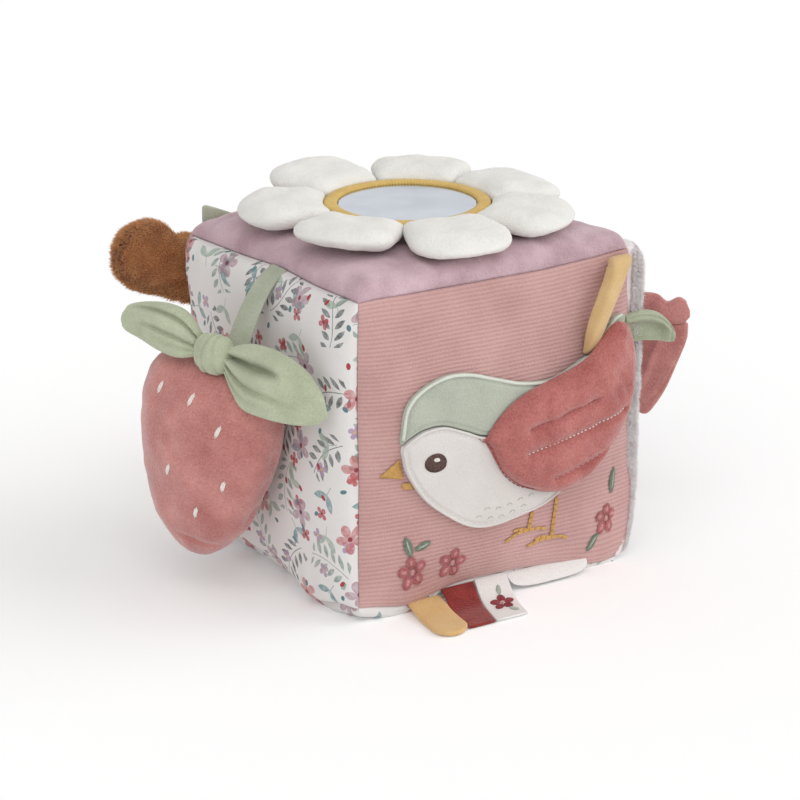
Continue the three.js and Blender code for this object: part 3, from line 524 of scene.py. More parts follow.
# %% [markdown]
# ## Printed cotton
#
# The left and bottom panels carry a small scattered print: five-petal flowers, leafy sprigs, leaf pairs and
# buds. Each kind of motif is a layer. A Voronoi texture gives every spot of cloth the middle of its cell, and
# the spot's place from that middle, turned by a random angle, goes into the formula of a petal, a leaf or a
# stem. The print stays sharp from close by.

# %% One layer of motifs
def motif_cells(tree, uv, cell_mm, shift, jitter):
    """For each spot: its x and y from the middle of its cell, turned at random, and two random numbers."""
    moved = node(tree, "VectorMath", {0: uv, 1: (shift, shift * 0.61, 0)}, operation="ADD").outputs[0]
    cells = node(tree, "TexVoronoi", {"Vector": moved, "Scale": 1 / cell_mm, "Randomness": jitter},
                 voronoi_dimensions="2D")
    away = node(tree, "VectorMath", {0: moved, 1: cells.outputs["Position"]}, operation="SUBTRACT")
    random = node(tree, "SeparateColor", {"Color": cells.outputs["Color"]})
    first, second, third = (Value(tree, random.outputs[k]) for k in range(3))
    turned = node(tree, "VectorRotate", {"Vector": away.outputs[0], "Angle": first * math.tau},
                  rotation_type="Z_AXIS")
    parts = node(tree, "SeparateXYZ", {"Vector": turned.outputs[0]})
    return Value(tree, parts.outputs["X"]), Value(tree, parts.outputs["Y"]), second, third


def flower(x, y, radius, petals):
    """1 inside a flower: the radius follows the size of the cosine of half the petal count times the angle."""
    distance = (x * x + y * y).math("SQRT")
    wave = (y.math("ARCTAN2", x) * (petals / 2)).math("COSINE").math("ABSOLUTE")
    return distance < wave.math("POWER", 0.6) * radius * 0.8 + radius * 0.2


def disc(x, y, radius):
    return (x * x + y * y).math("SQRT") < radius


def leaf(along, across, middle, rise, half_length, half_width, slant):
    """1 inside a leaf whose middle lies at (middle, rise), slanted up by an angle."""
    a, b = along - middle, across - rise
    long = (a * math.cos(slant) + b * math.sin(slant)) / half_length
    wide = (b * math.cos(slant) - a * math.sin(slant)) / half_width
    return (long * long + wide.math("ABSOLUTE")) < 1.0


def sprig(x, y, length, spacing, leaf_length, leaf_width):
    """A bent stem with a pair of leaves at each spacing."""
    bent = (x - y * y * 0.02).math("ABSOLUTE")
    inside = y.math("ABSOLUTE") < length / 2
    step = (y + length).math("MODULO", spacing) - spacing / 2
    leaves = leaf(bent, step, leaf_length * 0.62, 0.2, leaf_length / 2, leaf_width / 2, 0.6)
    return leaves.math("MAXIMUM", bent < 0.22) * inside


def paint(tree, base, mask, tone):
    """Prints a tone on the base where the mask is 1."""
    return blend_colours(tree, mask, base, tone)


def two_tones(tree, choice, low, high, share=0.5):
    return blend_colours(tree, choice > share, colour(low), colour(high))


# %% The printed cotton
def printed(name):
    material, tree, shader, place = finish_of(name, Roughness=0.9, Specular_IOR_Level=0.2, Sheen_Weight=0.1)
    uv = place.outputs["UV"]
    wash = contrast(speckle(tree, uv, 2.5, 3.0, metres=False), 0.3, 0.75)
    cloth = colour("E1DEDC")

    x, y, kind, keep = motif_cells(tree, uv, 29, 3.7, 0.35)
    cloth = paint(tree, cloth, sprig(x, y, 24, 4.8, 6.8, 2.5) * (keep > 0.12) * (wash * 0.5 + 0.5),
                  two_tones(tree, kind, "3F474A", "7F9389"))
    x, y, kind, keep = motif_cells(tree, uv, 21, 41.3, 0.4)
    pair = leaf(x.math("ABSOLUTE"), y, 3.3, 1.6, 4.4, 1.75, 0.75).math(
        "MAXIMUM", (x.math("ABSOLUTE") < 0.2) * ((y + 2.2).math("ABSOLUTE") < 3.8))
    cloth = paint(tree, cloth, pair * (keep > 0.2) * (wash * 0.5 + 0.5),
                  two_tones(tree, kind, "5F8A8E", "97AA99"))
    x, y, kind, keep = motif_cells(tree, uv, 17, 77.9, 0.5)
    small = flower(x, y, 3.4, 4) * (keep > 0.5)
    cloth = paint(tree, cloth, small * (wash * 0.3 + 0.7), two_tones(tree, kind, "B0444B", "A98FA8"))
    cloth = paint(tree, cloth, disc(x, y, 0.6) * (keep > 0.5), two_tones(tree, kind, "7E3440", "D9B15E"))
    x, y, kind, keep = motif_cells(tree, uv, 33, 12.1, 0.3)
    cloth = paint(tree, cloth, flower(x, y, 7.0, 5) * (wash * 0.45 + 0.45),
                  two_tones(tree, kind, "B95C60", "A5808F", 0.45))
    cloth = paint(tree, cloth, disc(x, y, 1.1), two_tones(tree, kind, "8E3F49", "6E4452"))
    x, y, kind, keep = motif_cells(tree, uv, 12.5, 58.3, 0.6)
    cloth = paint(tree, cloth, disc(x, y * 0.6, 0.95) * (keep > 0.55),
                  two_tones(tree, kind, "A83F45", "5F7F86"))

    weave = speckle(tree, place.outputs["Object"], 0.6, 2.0)
    shade = blend_colours(tree, contrast(weave, 0.3, 0.7) * 0.08, cloth, colour("9A9694"))
    feed(tree, shader.inputs["Base Color"], shade)
    raise_cloth(tree, shader, weave, 0.1)
    return material


printed_cotton = printed("printed_cotton")

# %% [markdown]
# ## Plush, mirror and ribbon
#
# Plush has hairs several millimetres long. Its cloth below only needs the tone of the hairs' roots, because
# real hairs stand on it. A hair's UV map says how far along it lies, so a hair is darker at its root.
# The mirror is a flexible foil: a metal, a little blurred.

# %% Plush hairs, mirror foil and white ribbon
def hair_finish(name, root, tip, sheen=0.5, cloud_mm=15):
    material, tree, shader, place = finish_of(name, Roughness=0.8, Specular_IOR_Level=0.2, Sheen_Weight=sheen)
    parts = node(tree, "SeparateXYZ", {"Vector": place.outputs["UV"]})
    along = Value(tree, parts.outputs["Y"])
    odd = Value(tree, parts.outputs["X"])
    clouds = contrast(speckle(tree, place.outputs["Object"], cloud_mm, 3.0), 0.3, 0.7)
    share = along * 0.5 + odd * 0.2 + clouds * 0.3
    colour_between(tree, shader, share, root, tip)
    return material


lilac_hair = hair_finish("lilac_hair", "E2D8D9", "F8F4F3")
brown_hair = hair_finish("brown_hair", "AA5F30", "E6AE74", sheen=0.35, cloud_mm=6)
lilac_backing = velour("lilac_backing", "DBD0D2", "EFE8E8", cloud_mm=18, sheen=0.4)
brown_backing = velour("brown_backing", "8E4E27", "BC7E4C", cloud_mm=8, sheen=0.2)


def foil(name):
    material, tree, shader, place = finish_of(name, Metallic=1.0, Roughness=0.16)
    haze = contrast(speckle(tree, place.outputs["Object"], 25, 2.0), 0.3, 0.7)
    colour_between(tree, shader, haze, "B2B9C4", "C4CAD4")
    raise_cloth(tree, shader, haze, 0.05)
    return material


def ribbon(name, dark, light, rib_mm=0.9):
    """Woven ribbon: fine cross ribs from a wave on the cloth's own UV map."""
    material, tree, shader, place = finish_of(name, Roughness=0.7, Sheen_Weight=0.15)
    parts = node(tree, "SeparateXYZ", {"Vector": place.outputs["UV"]})
    wave = (Value(tree, parts.outputs["Y"]) * (math.tau / rib_mm)).math("SINE") * 0.5 + 0.5
    grain = contrast(speckle(tree, place.outputs["Object"], 0.7), 0.3, 0.7)
    share = wave * 0.15 + grain * 0.85
    colour_between(tree, shader, share, dark, light)
    raise_cloth(tree, shader, wave, 0.03)
    return material


mirror_foil = foil("mirror_foil")
white_ribbon = ribbon("white_ribbon", "D9D5D2", "E9E6E3")
print("finishes:", len(bpy.data.materials))

# %% [markdown]
# ## The six panels
#
# A panel is a sheet over the unit square. Its rows crowd towards the seams, where the swell turns steepest,
# and `Solidify` gives it the thickness of cloth and wadding. The front is different: each rib needs its own
# rows of points, so its rows follow the cloth's length, and the ribs are a wave a quarter of a millimetre deep. Its
# right edge is wrapped a little way round the corner, over the plush panel's steep side, less so near the top.

# %% Panels
def crowded(count):
    """Places from -1 to 1 that crowd towards both ends: 1 less a power of the way that is left to the end."""
    t = np.linspace(-1, 1, count)
    return np.sign(t) * (1 - (1 - np.abs(t)) ** 2.4)


def cloth_lengths(points, axis):
    """How far each point lies along the cloth, in millimetres: the sum of the steps along one axis."""
    step = np.linalg.norm(np.diff(points, axis=axis), axis=-1)
    start = np.zeros_like(np.take(step, [0], axis=axis))
    return np.cumsum(np.concatenate([start, step], axis=axis), axis=axis)


def wrapped(v, columns=10):
    """More columns beyond the front's right edge. They lie on the right panel, at a distance from the seam that
    grows so that its steep side is crossed in even steps, and 0.3 mm in front of it."""
    step = np.arange(1, columns + 1) / columns * wrap_reach(v[:, :1])
    points = on_face("right", wrap_share * step ** (1 / FACES["right"][4]) - 1, v[:, :1])
    points[..., 1] -= 0.3
    return points


def wrap_reach(v):
    """How far the wrap goes at each height: less near the top, and more below."""
    rise, fall = np.clip((v - 0.3) / 0.55, 0, 1), np.clip((0.1 - v) / 0.6, 0, 1)
    return 1 - 0.8 * rise**2 * (3 - 2 * rise) + 0.35 * fall**2 * (3 - 2 * fall)


def draw_in(name, points):
    """Leaves a hair's gap between a panel and its neighbours."""
    middle = np.array([0, 0, 0 if FACES[name][0] == 2 else block_middle])
    shrink = np.full(3, 1 - seam_gap / half_edge)
    shrink[FACES[name][0]] = 1
    return (points - middle) * shrink + middle


def panel(name, finish, rows, columns, ribs=False):
    u, v = np.meshgrid(crowded(columns), crowded(rows))
    if ribs:
        fine = np.linspace(-1, 1, 400)
        length = cloth_lengths(on_face(name, 0 * fine, fine)[:, None], 0)[:, 0]
        even = np.interp(np.linspace(0, length[-1], rows), length, fine)
        u, v = np.meshgrid(crowded(columns), even)
    points = draw_in(name, on_face(name, u, v))
    middle_column = columns // 2
    if ribs:
        first = np.searchsorted(u[0], 0.9)
        points = np.concatenate([points, wrapped(v)], 1)
        columns = points.shape[1]
        share = cloth_lengths(points[:, first:], 1)
        share = (share / share[:, -1:])[..., None]
        bulge = 2.4 * share * (1 - share) * (1 - v[:, :1, None] ** 8) * [0.3, -1, 0]
        points[:, first:] = points[:, [first]] * (1 - share) + points[:, [-1]] * share + bulge
        v = np.broadcast_to(v[:, :1], points.shape[:2])
    along, upwards = cloth_lengths(points, 1), cloth_lengths(points, 0)
    along = along - along[:, [middle_column]]
    upwards = upwards - upwards[[rows // 2]]
    if ribs:
        count = np.linspace(0, length[-1] / rib_pitch, rows)[:, None] + 0 * along
        crest = rib_depth / 2 * np.cos(math.tau * count)
        axis, way = FACES[name][:2]
        points[..., axis] += way * crest * (1 - v**12)
        upwards = count
    faces = sheet_faces(rows, columns)
    flat = points.reshape(-1, 3)
    middle = np.array([0, 0, block_middle])
    corner, beside, above = (flat[faces[:, k]] for k in (0, 1, 3))
    if (np.cross(beside - corner, above - corner) * (corner - middle)).sum() < 0:
        faces = faces[:, ::-1]
    uv = np.stack([along, upwards], -1).reshape(-1, 2)
    piece = new_mesh(f"{name}_cloth", flat, faces, uv)
    wadding = piece.modifiers.new("wadding", "SOLIDIFY")
    wadding.thickness = panel_thickness * MM
    wadding.offset = -1
    return dress(piece, finish, f"{name}_panel", fill=0.75)


rib_depth = 0.24
seam_gap = 0.05
wrap_share = 0.0062
panel("top", lavender_velour, 150, 150)
panel("front", pink_rib, 480, 76, ribs=True)
panel("left", printed_cotton, 150, 150)
panel("right", lilac_backing, 110, 110)
panel("back", sand_velour, 110, 110)
panel("bottom", printed_cotton, 110, 110)

# %% [markdown]
# ## The filling
#
# Loose fibre fills the block. It can't be seen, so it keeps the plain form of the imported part, as one closed
# skin.

# %% Filling
def copy_of_node(name):
    """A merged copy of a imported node's mesh, for a piece that needs no finer form."""
    mesh = frame["nodes"][name].data.copy()
    mesh.materials.clear()
    piece = bpy.data.objects.new(f"{name}_form", mesh)
    bpy.context.scene.collection.objects.link(piece)
    work = bmesh.new()
    work.from_mesh(mesh)
    bmesh.ops.remove_doubles(work, verts=work.verts, dist=1e-6)
    work.to_mesh(mesh)
    work.free()
    return piece


dress(copy_of_node("filling"), fibre, "filling", fill=0.8)

# %% [markdown]
# ## The flower and its mirror
#
# A white disc carries a mirror foil, held by a ring that is oversewn all round, and seven padded petals are
# sewn to the disc at their roots. The ring is a profile carried round a circle. The thread that covers it shows
# as fine ridges across it, a small wave in its radius.

# %% Disc and ring
crown_top = bottom_seam_height + block_edge + FACES["top"][2]
pad_bottom = crown_top + seat_gap
pad_thickness = 3.9
ring_bottom = pad_bottom + pad_thickness + seat_gap
ring_height = 3.0
ring_radius = 37.6
mirror_radius = 31.2
ring_middle = (mirror_radius + seat_gap + ring_radius) / 2
ring_half_width = (ring_radius - mirror_radius - seat_gap) / 2


def round_section(count, fullness):
    """Cosine and sine round a circle, with the sine raised to a power that makes the section fuller."""
    angle = even_angles(count)
    height = np.sin(angle)
    return np.cos(angle), np.sign(height) * np.abs(height) ** fullness


def flower_disc(around=160):
    t = np.linspace(0, 1, 24)[1:-1]
    radius = (ring_radius - seat_gap) * np.sin(math.pi * t) ** 0.12
    height = pad_bottom + pad_thickness * t
    angle = even_angles(around)
    rings = np.stack([radius[:, None] * np.cos(angle), radius[:, None] * np.sin(angle),
                      height[:, None] + 0 * angle], -1)
    return ringed("flower_disc", rings, np.array([0, 0, pad_bottom]), np.array([0, 0, pad_bottom + pad_thickness]))


def oversewn_ring(around=840, section=14, stitches=140):
    """A band bent into a circle. Each stitch is one wave of the band's thickness."""
    angle = even_angles(around)[:, None]
    wide, tall = round_section(section, 0.55)
    ridge = 1 + 0.05 * np.cos(stitches * angle)
    uneven = 0.12 * soft_noise(np.stack([np.cos(angle), np.sin(angle), 0 * angle], -1)[:, 0], 0.5, 3)[:, None]
    radius = ring_middle + ring_half_width * wide * ridge + uneven
    height = ring_bottom + ring_height / 2 * (1 + tall * ridge * 0.95)
    points = np.stack([radius * np.cos(angle), radius * np.sin(angle), height], -1).reshape(-1, 3)
    row, k = np.arange(around)[:, None], np.arange(section)
    near, far = row * section, (row + 1) % around * section
    step = (k + 1) % section
    faces = np.stack([near + k, far + k, far + step, near + step], -1).reshape(-1, 4)
    return new_mesh("oversewn_ring", points, outward(points, faces))


mustard_satin = velour("mustard_satin", "BF9A4B", "E2C37C", cloud_mm=9, cloud=0.35, grain_mm=0.5, grain=0.4,
                       depth_mm=0.1, sheen=0.2)
dress(flower_disc(), white_velour, "flower_pad", fill=0.7)
dress(oversewn_ring(), mustard_satin, "mirror_ring", fill=0.8)
mirror = frame["nodes"]["mirror"]
mirror.data.materials.clear()
mirror.data.materials.append(mirror_foil)

# %% [markdown]
# ## Petals
#
# Each petal is two pieces of velour sewn face to face and stuffed. Its outline is one closed curve: half an oval
# beyond the widest place, and a rounded block that narrows towards the root, where it follows the ring. The skin
# runs from the middle of the top out to this seam, and back under to the middle of the bottom. The height falls
# towards the seam like the side of a pillow, and the seam gathers the cloth into small pleats.

# %% A stuffed petal
petal_count = 7
petal_root = ring_radius + 0.25
petal_tip = 76.5
petal_length = petal_tip - petal_root
petal_half_width = 23.5
petal_root_half_width = 17.4
petal_widest = 0.56
petal_thickness = 11.0
petal_root_thickness = 5.2
petal_middle = ring_bottom + ring_height - 1.75
petal_turns = [0, 0, 0, 0, 5, 2.5, 1]  # degrees out of an even spacing
petal_droops = [-2.6, -0.8, 4.0, -1.2, 2.6, -2.4, -1.4]  # how far each tip stands above level


def pleats(angle, seed, count):
    """Uneven small waves round a seam."""
    draw = np.random.default_rng(seed)
    waves = [np.cos(n * angle + draw.uniform(0, math.tau)) for n in draw.integers(count // 2, count * 2, 5)]
    return np.mean(waves, 0)


def petal_outline(count):
    """The outline, evenly spaced, from the widest place round the tip and the root. Cosine and sine go round it,
    raised to powers below 1 on the root's side, which squares that side off."""
    angle = np.linspace(0, math.tau, 3001)
    c, s = np.cos(angle), np.sin(angle)
    reach = np.where(c > 0, petal_widest + (1 - petal_widest) * np.abs(c) ** 0.94,
                     petal_widest * (1 - np.abs(c) ** 0.2))
    back = np.clip((petal_widest - reach) / petal_widest, 0, 1)
    narrow = 1 - (1 - petal_root_half_width / petal_half_width) * back**1.25
    side = petal_half_width * np.sign(s) * np.abs(s) ** np.where(c > 0, 0.88, 0.2) * narrow
    line = np.stack([petal_length * reach, side], -1)
    line[:, 0] -= 0.9 * (petal_root - np.sqrt(petal_root**2 - side**2)) * back**3
    far = cloth_lengths(line[:, None], 0)[:, 0]
    even = np.linspace(0, far[-1], count, endpoint=False)
    return np.stack([np.interp(even, far, line[:, k]) for k in range(2)], -1)


def petal(number, around=150, rows=32):
    outline = petal_outline(around)
    centre = np.array([petal_length * 0.52, 0])
    t = np.linspace(0, 1, rows + 1)[1:-1]
    share = (np.sin(math.pi * t) ** 0.8)[:, None]
    rise = np.cos(math.pi * t)[:, None]
    gather = pleats(even_angles(around), 40 + number, 16)
    spread = share * (1 + 0.008 * gather * share**6)
    x = centre[0] + (outline[:, 0] - centre[0]) * spread
    y = outline[:, 1] * spread
    along = np.clip(x / petal_length, 0, 1)
    thick = petal_root_thickness + (petal_thickness - petal_root_thickness) * np.clip(
        1.3 * np.sin(math.pi * np.clip(along, 0.02, 0.98) ** 0.8) ** 0.8, 0, 1)
    blunt = 5.5 + 7 * np.clip(1 - outline[:, 0] / petal_length / 0.3, 0, 1)
    height = thick / 2 * np.sign(rise) * (1 - share**blunt) ** 0.5
    height = height - np.sign(rise) * 0.4 * np.clip(gather, 0, 1) * np.exp(-((share - 0.88) / 0.09) ** 2)
    lumps = np.stack([x, y, 0 * x + 30 * number], -1)
    height = height + (0.45 * soft_noise(lumps, 17, 60) + 0.1 * soft_noise(lumps, 4, 61)) * (1 - share**4)
    height = height + petal_droops[number - 1] * along**2
    turn = math.tau * (number - 1) / petal_count + math.radians(petal_turns[number - 1])
    rings = np.stack([(petal_root + x) * math.cos(turn) - y * math.sin(turn),
                      (petal_root + x) * math.sin(turn) + y * math.cos(turn),
                      petal_middle + height], -1)
    return ringed(f"soft_petal_{number}", rings)


for number in range(1, petal_count + 1):
    dress(petal(number), white_velour, f"petal_{number}", fill=0.85)
print("petals:", petal_count)

# %% [markdown]
# ## The strawberry and its bow
#
# The strawberry is a stuffed pouch of rose velour, wide at the shoulder and narrow at the tip. It turns and
# leans on its strap, so it is worked out in a frame of its own: across it, up its axis and out of its face.
# The cloth is gathered under the bow and at the tip, which gives pleats that die out along the berry.

# %% The berry's frame
berry_width = 71.0
berry_depth = 42.0
berry_height = 92.0
berry_middle = np.array([-half_edge - FACES["left"][2] - 25.5, -1.3, 64.5])
berry_turn = math.radians(24)
berry_lean = math.radians(9)
upright = np.array([0, 0, 1.0])
berry_out = np.array([-math.cos(berry_turn), -math.sin(berry_turn), 0])
berry_across = np.array([math.sin(berry_turn), -math.cos(berry_turn), 0])
berry_up = upright * math.cos(berry_lean) + berry_across * math.sin(berry_lean)
berry_level = berry_across * math.cos(berry_lean) - upright * math.sin(berry_lean)

# Stations up the berry: share of its height, shares of its half width and half depth
berry_shares = [
    [-0.505, 0.06, 0.07], [-0.49, 0.22, 0.25], [-0.43, 0.41, 0.47], [-0.33, 0.6, 0.68], [-0.224, 0.74, 0.81],
    [-0.074, 0.88, 0.94], [0.065, 0.955, 1], [0.21, 0.99, 1], [0.31, 0.97, 0.93], [0.41, 0.9, 0.76],
    [0.475, 0.74, 0.5], [0.5, 0.36, 0.22], [0.505, 0.06, 0.05],
]


def berry_point(across, up, out, level=berry_level, axis=berry_up):
    """A place in the berry's own frame, as a place of the block."""
    return berry_middle + across[..., None] * level + up[..., None] * axis + out[..., None] * berry_out


def berry_skin(up, angle):
    """The berry's skin at a height and an angle round it, both arrays. Pleats run down from the bow and up from
    the tip; a seam runs down both sides, and the cloth is drawn in a little there."""
    stations = curve_through(berry_shares, 200)
    wide = np.interp(up / berry_height, stations[:, 0], stations[:, 1])
    deep = np.interp(up / berry_height, stations[:, 0], stations[:, 2])
    c, s = np.cos(angle), np.sin(angle)
    from_top = berry_height * 0.5 - up
    from_tip = up + berry_height * 0.5
    top_pleats = pleats(angle, 81, 9) * 2.1 * np.exp(-from_top / 13) * (1 - np.exp(-from_top / 3))
    tip_pleats = pleats(angle, 82, 6) * 1.3 * np.exp(-from_tip / 13) * (1 - np.exp(-from_tip / 3))
    across = berry_width / 2 * wide * c
    out = berry_depth / 2 * deep * np.sign(s) * np.abs(s) ** 0.9
    lumps = 0.5 * soft_noise(np.stack([across, up, out], -1), 27, 83)
    short = 0.16 * soft_noise(np.stack([across, up, out], -1), 9, 84)
    seam = (0.7 * np.sin(up / 3.1 + 1.5 * np.sin(up / 11)) - 0.6) * np.exp(-(np.sin(angle) / 0.12) ** 2)
    fold = -1.7 * np.exp(-((up + 35.5 + 0.1 * (across - 8)) / 1.6) ** 2) * np.clip(s, 0, 1) * np.exp(
        -((across - 10) / 13) ** 4)
    swell = (top_pleats + tip_pleats + lumps + short + seam + fold) * np.clip(wide * 1.5, 0, 1)
    away = unit(np.stack([c * berry_depth, np.sign(s) * np.abs(s) ** 0.9 * berry_width], -1))
    return across + swell * away[..., 0], out + swell * away[..., 1]


def strawberry(rows=150, around=160):
    angle = even_angles(around)
    up = berry_height * 0.5 * np.sin(np.linspace(-math.pi / 2, math.pi / 2, rows + 2)[1:-1])
    up, angle = np.meshgrid(up, angle, indexing="ij")
    across, out = berry_skin(up, angle)
    return ringed("strawberry_pouch", berry_point(across, up, out))


dress(strawberry(), berry_velour, "strawberry_body", fill=0.8)

# %% [markdown]
# ## Bow and strap
#
# The bow is one long piece of velour, gathered by a knot. Each half is a leaf whose cloth folds where the knot
# pinches it: a deep valley that opens from the knot, and a shallower one beside it. A leaf's section is a
# flattened round, and its front is pressed down along these valleys.

# %% Bow
knot_width, knot_height, knot_depth = 18.4, 16.0, 13.0
knot_rise = berry_height / 2 + knot_height * 0.4
knot_forward = knot_depth * 0.62
knot_side = berry_height / 2 * math.sin(berry_lean) + knot_width * 0.2
leaf_thickness = 9.0
leaf_tuck = math.radians(24)


def bow_point(across, up, out):
    return berry_point(across, up, out, berry_across, upright)


# Stations along a leaf: share of its length, rise and stand as shares of its width, half width and thickness shares
left_leaf_shares = [
    [0, 0.11, 0, 0.42, 0.75], [0.18, 0.25, 0.06, 0.82, 0.95], [0.4, 0.33, 0.08, 0.85, 1],
    [0.66, 0.36, 0.04, 0.68, 0.9], [0.87, 0.34, 0, 0.5, 0.75], [0.97, 0.32, -0.02, 0.28, 0.55],
]
right_leaf_shares = [
    [0, -0.06, 0, 0.4, 0.75], [0.12, -0.14, 0.03, 0.72, 0.95], [0.26, -0.2, 0.07, 0.93, 1],
    [0.51, -0.24, 0.1, 0.94, 1], [0.76, -0.35, 0.06, 0.76, 0.85], [0.92, -0.49, 0, 0.42, 0.55],
    [1, -0.57, 0, 0.14, 0.35],
]
# Folds of each leaf: where they lie across it at the knot and at its end, how deep (a ridge if negative), how
# wide, and how far they run. The first on the right is the pocket that its rolled upper edge covers.
left_folds = [(0.42, 0.7, 0.75, 0.1, 0.9), (0.12, 0.3, -0.2, 0.16, 0.8), (-0.25, -0.1, 0.6, 0.09, 0.7),
              (-0.62, -0.5, 0.35, 0.09, 0.5)]
right_folds = [(0.3, 0.3, 1.55, 0.13, 0.6), (0.62, 0.62, -0.3, 0.2, 0.75), (0.02, -0.1, -0.25, 0.15, 0.8),
               (-0.3, -0.5, 0.6, 0.09, 0.8), (-0.68, -0.8, 0.35, 0.08, 0.6)]


def bow_leaf(name, shares, length, width, side, folds, rows=100, around=130):
    stations = curve_through(shares, rows)
    along, rise, stand, wide, thick = (stations[:, k][:, None] for k in range(5))
    rounded = np.clip((1.02 - along) / 0.1, 0, 1) ** 0.5
    c, s = round_section(around, 0.8)
    front = np.clip(s, 0, 1)
    dent = 0 * along * c
    for start, end, depth, spread, run in folds:
        middle = start + (end - start) * along
        fade = np.clip(1 - (along / run) ** 4, 0, 1)
        dent = dent + depth * fade * np.exp(-((c - middle) / spread) ** 2)
    half = width / 2 * np.abs(wide) * rounded
    tall = leaf_thickness / 2 * thick * rounded
    height = tall * (s - front * dent * 1.15)
    across = knot_side + side * (knot_width / 2 - 1.2 + (length + 1.5) * along) + 0 * c
    lumps = np.stack([across, half * c, 0 * across + side * 50], -1)
    height = height + 0.3 * soft_noise(lumps, 11, 90) * front
    up = knot_rise + width * rise + half * c * math.cos(leaf_tuck) + height * math.sin(leaf_tuck)
    out = knot_forward + width * stand - half * c * math.sin(leaf_tuck) + height * math.cos(leaf_tuck)
    return ringed(name, bow_point(across, up, out))


def bow_knot_form(rows=90, around=120):
    """A band wrapped round the bow: three creases run round it, each a narrow valley that bends as it goes."""
    x = np.linspace(-1, 1, rows + 2)[1:-1][:, None]
    angle = even_angles(around)[None]
    wide = (1 - np.abs(x) ** 3.4) ** 0.5
    wrap = 1.08 + 0 * x * angle
    for place, bend, depth in ((-0.52, 0.14, 0.13), (-0.05, -0.2, 0.16), (0.45, 0.12, 0.14)):
        wrap = wrap - depth * np.exp(-((x - place - bend * np.sin(angle + place * 9)) / 0.1) ** 2)
    c, s = np.cos(angle), np.sin(angle)
    up = knot_rise + knot_height / 2 * wide * wrap * 1.06 * c
    out = knot_forward + knot_depth / 2 * wide * wrap * np.sign(s) * np.abs(s) ** 0.8
    return ringed("bow_wrap", bow_point(knot_side + knot_width / 2 * x + 0 * angle, up, out))


dress(bow_knot_form(), sage_velour, "bow_knot", fill=0.8)
dress(bow_leaf("bow_half_left", left_leaf_shares, 42.0, 25.0, -1, left_folds), sage_velour, "bow_leaf_left",
      fill=0.5)
dress(bow_leaf("bow_half_right", right_leaf_shares, 50.0, 31.0, 1, right_folds), sage_velour, "bow_leaf_right",
      fill=0.5)

# %% Strap
strap_width, strap_thickness, strap_side = 12.0, 1.6, 6.4


def band(name, middles, acrosses, ups, width, thickness, around=28, end=0.5):
    """A flat band with rounded edges along a route, each row with its way across and its way up."""
    c, s = round_section(around, 0.5)
    c = np.sign(c) * np.abs(c) ** 0.6
    rings = (middles[:, None] + acrosses[:, None] * (width / 2 * c)[None, :, None]
             + ups[:, None] * (thickness / 2 * s)[None, :, None])
    uv = np.stack(np.broadcast_arrays(c * width / 2, cloth_lengths(middles[:, None], 0)), -1)
    way_in, way_out = unit(middles[0] - middles[1]), unit(middles[-1] - middles[-2])
    return ringed(name, rings, middles[0] + way_in * end, middles[-1] + way_out * end, uv)


def berry_strap(rows=60):
    seam = half_edge - seam_dip
    top = np.array([-seam - strap_thickness / 2 - 2 * seat_gap, -strap_side, block_middle + seam + seat_gap])
    rise = berry_height * 0.505 + strap_thickness / 2 + seat_gap
    bottom = berry_point(np.array(strap_width * 0.6), np.array(rise), np.array(0.0))
    over = np.array([top[0] - FACES["left"][2] * 1.5, (top[1] + bottom[1]) / 2, top[2] - 2 * strap_thickness])
    t = np.linspace(0, 1, rows)[:, None]
    early, late = top + (over - top) * t, over + (bottom - over) * t
    way = unit(late - early)
    twist = berry_turn * t[:, 0]
    across = np.stack([np.sin(twist), -np.cos(twist), 0 * twist], -1)
    return band("strawberry_band", early + (late - early) * t, across, unit(np.cross(across, way)),
                strap_width, strap_thickness)


dress(berry_strap(), sage_cloth, "strawberry_strap", fill=0.3)
print("berry top:", (berry_middle + berry_up * berry_height / 2).round(1))

# %% [markdown]
# ## Patches: the bird
#
# The bird's cap and breast are patches sewn flat on the front, its wing is a stuffed pad held at one edge.
# All three are given by a lower and an upper edge. The height of a patch depends only on how far a spot lies
# from the patch's own edge, so that the edge is rounded alike all the way round, whatever its outline.

# %% A pad between two edges
bird_left, bird_foot = 17.0 - half_edge, bottom_seam_height + 29.5
bird_size = np.array([120.0, 73.0])
edge_steps = 150
applique_thickness = 3.0
patch_rise = applique_thickness - 0.4
wing_thickness = 9.0

cap_shares = (
    [[0.006, 0.625], [0.038, 0.665], [0.092, 0.703], [0.167, 0.705], [0.258, 0.65], [0.367, 0.58],
     [0.508, 0.582], [0.65, 0.678], [0.782, 0.782], [0.868, 0.838], [0.92, 0.87], [0.955, 0.89], [0.99, 0.91]],
    [[0.003, 0.66], [0.025, 0.842], [0.083, 0.945], [0.183, 0.999], [0.292, 0.99], [0.408, 0.934],
     [0.525, 0.87], [0.65, 0.85], [0.775, 0.915], [0.86, 0.985], [0.907, 1.08], [0.945, 1.14], [0.99, 1.157]],
)
breast_shares = (
    [[0.007, 0.582], [0.029, 0.438], [0.1, 0.247], [0.183, 0.123], [0.287, 0.027], [0.392, 0],
     [0.517, 0.02], [0.642, 0.062], [0.775, 0.212], [0.875, 0.473], [0.942, 0.692]],
    [[0.01, 0.61], [0.042, 0.65], [0.096, 0.69], [0.175, 0.693], [0.267, 0.635], [0.367, 0.568],
     [0.508, 0.57], [0.65, 0.664], [0.783, 0.772], [0.883, 0.836], [0.95, 0.877]],
)
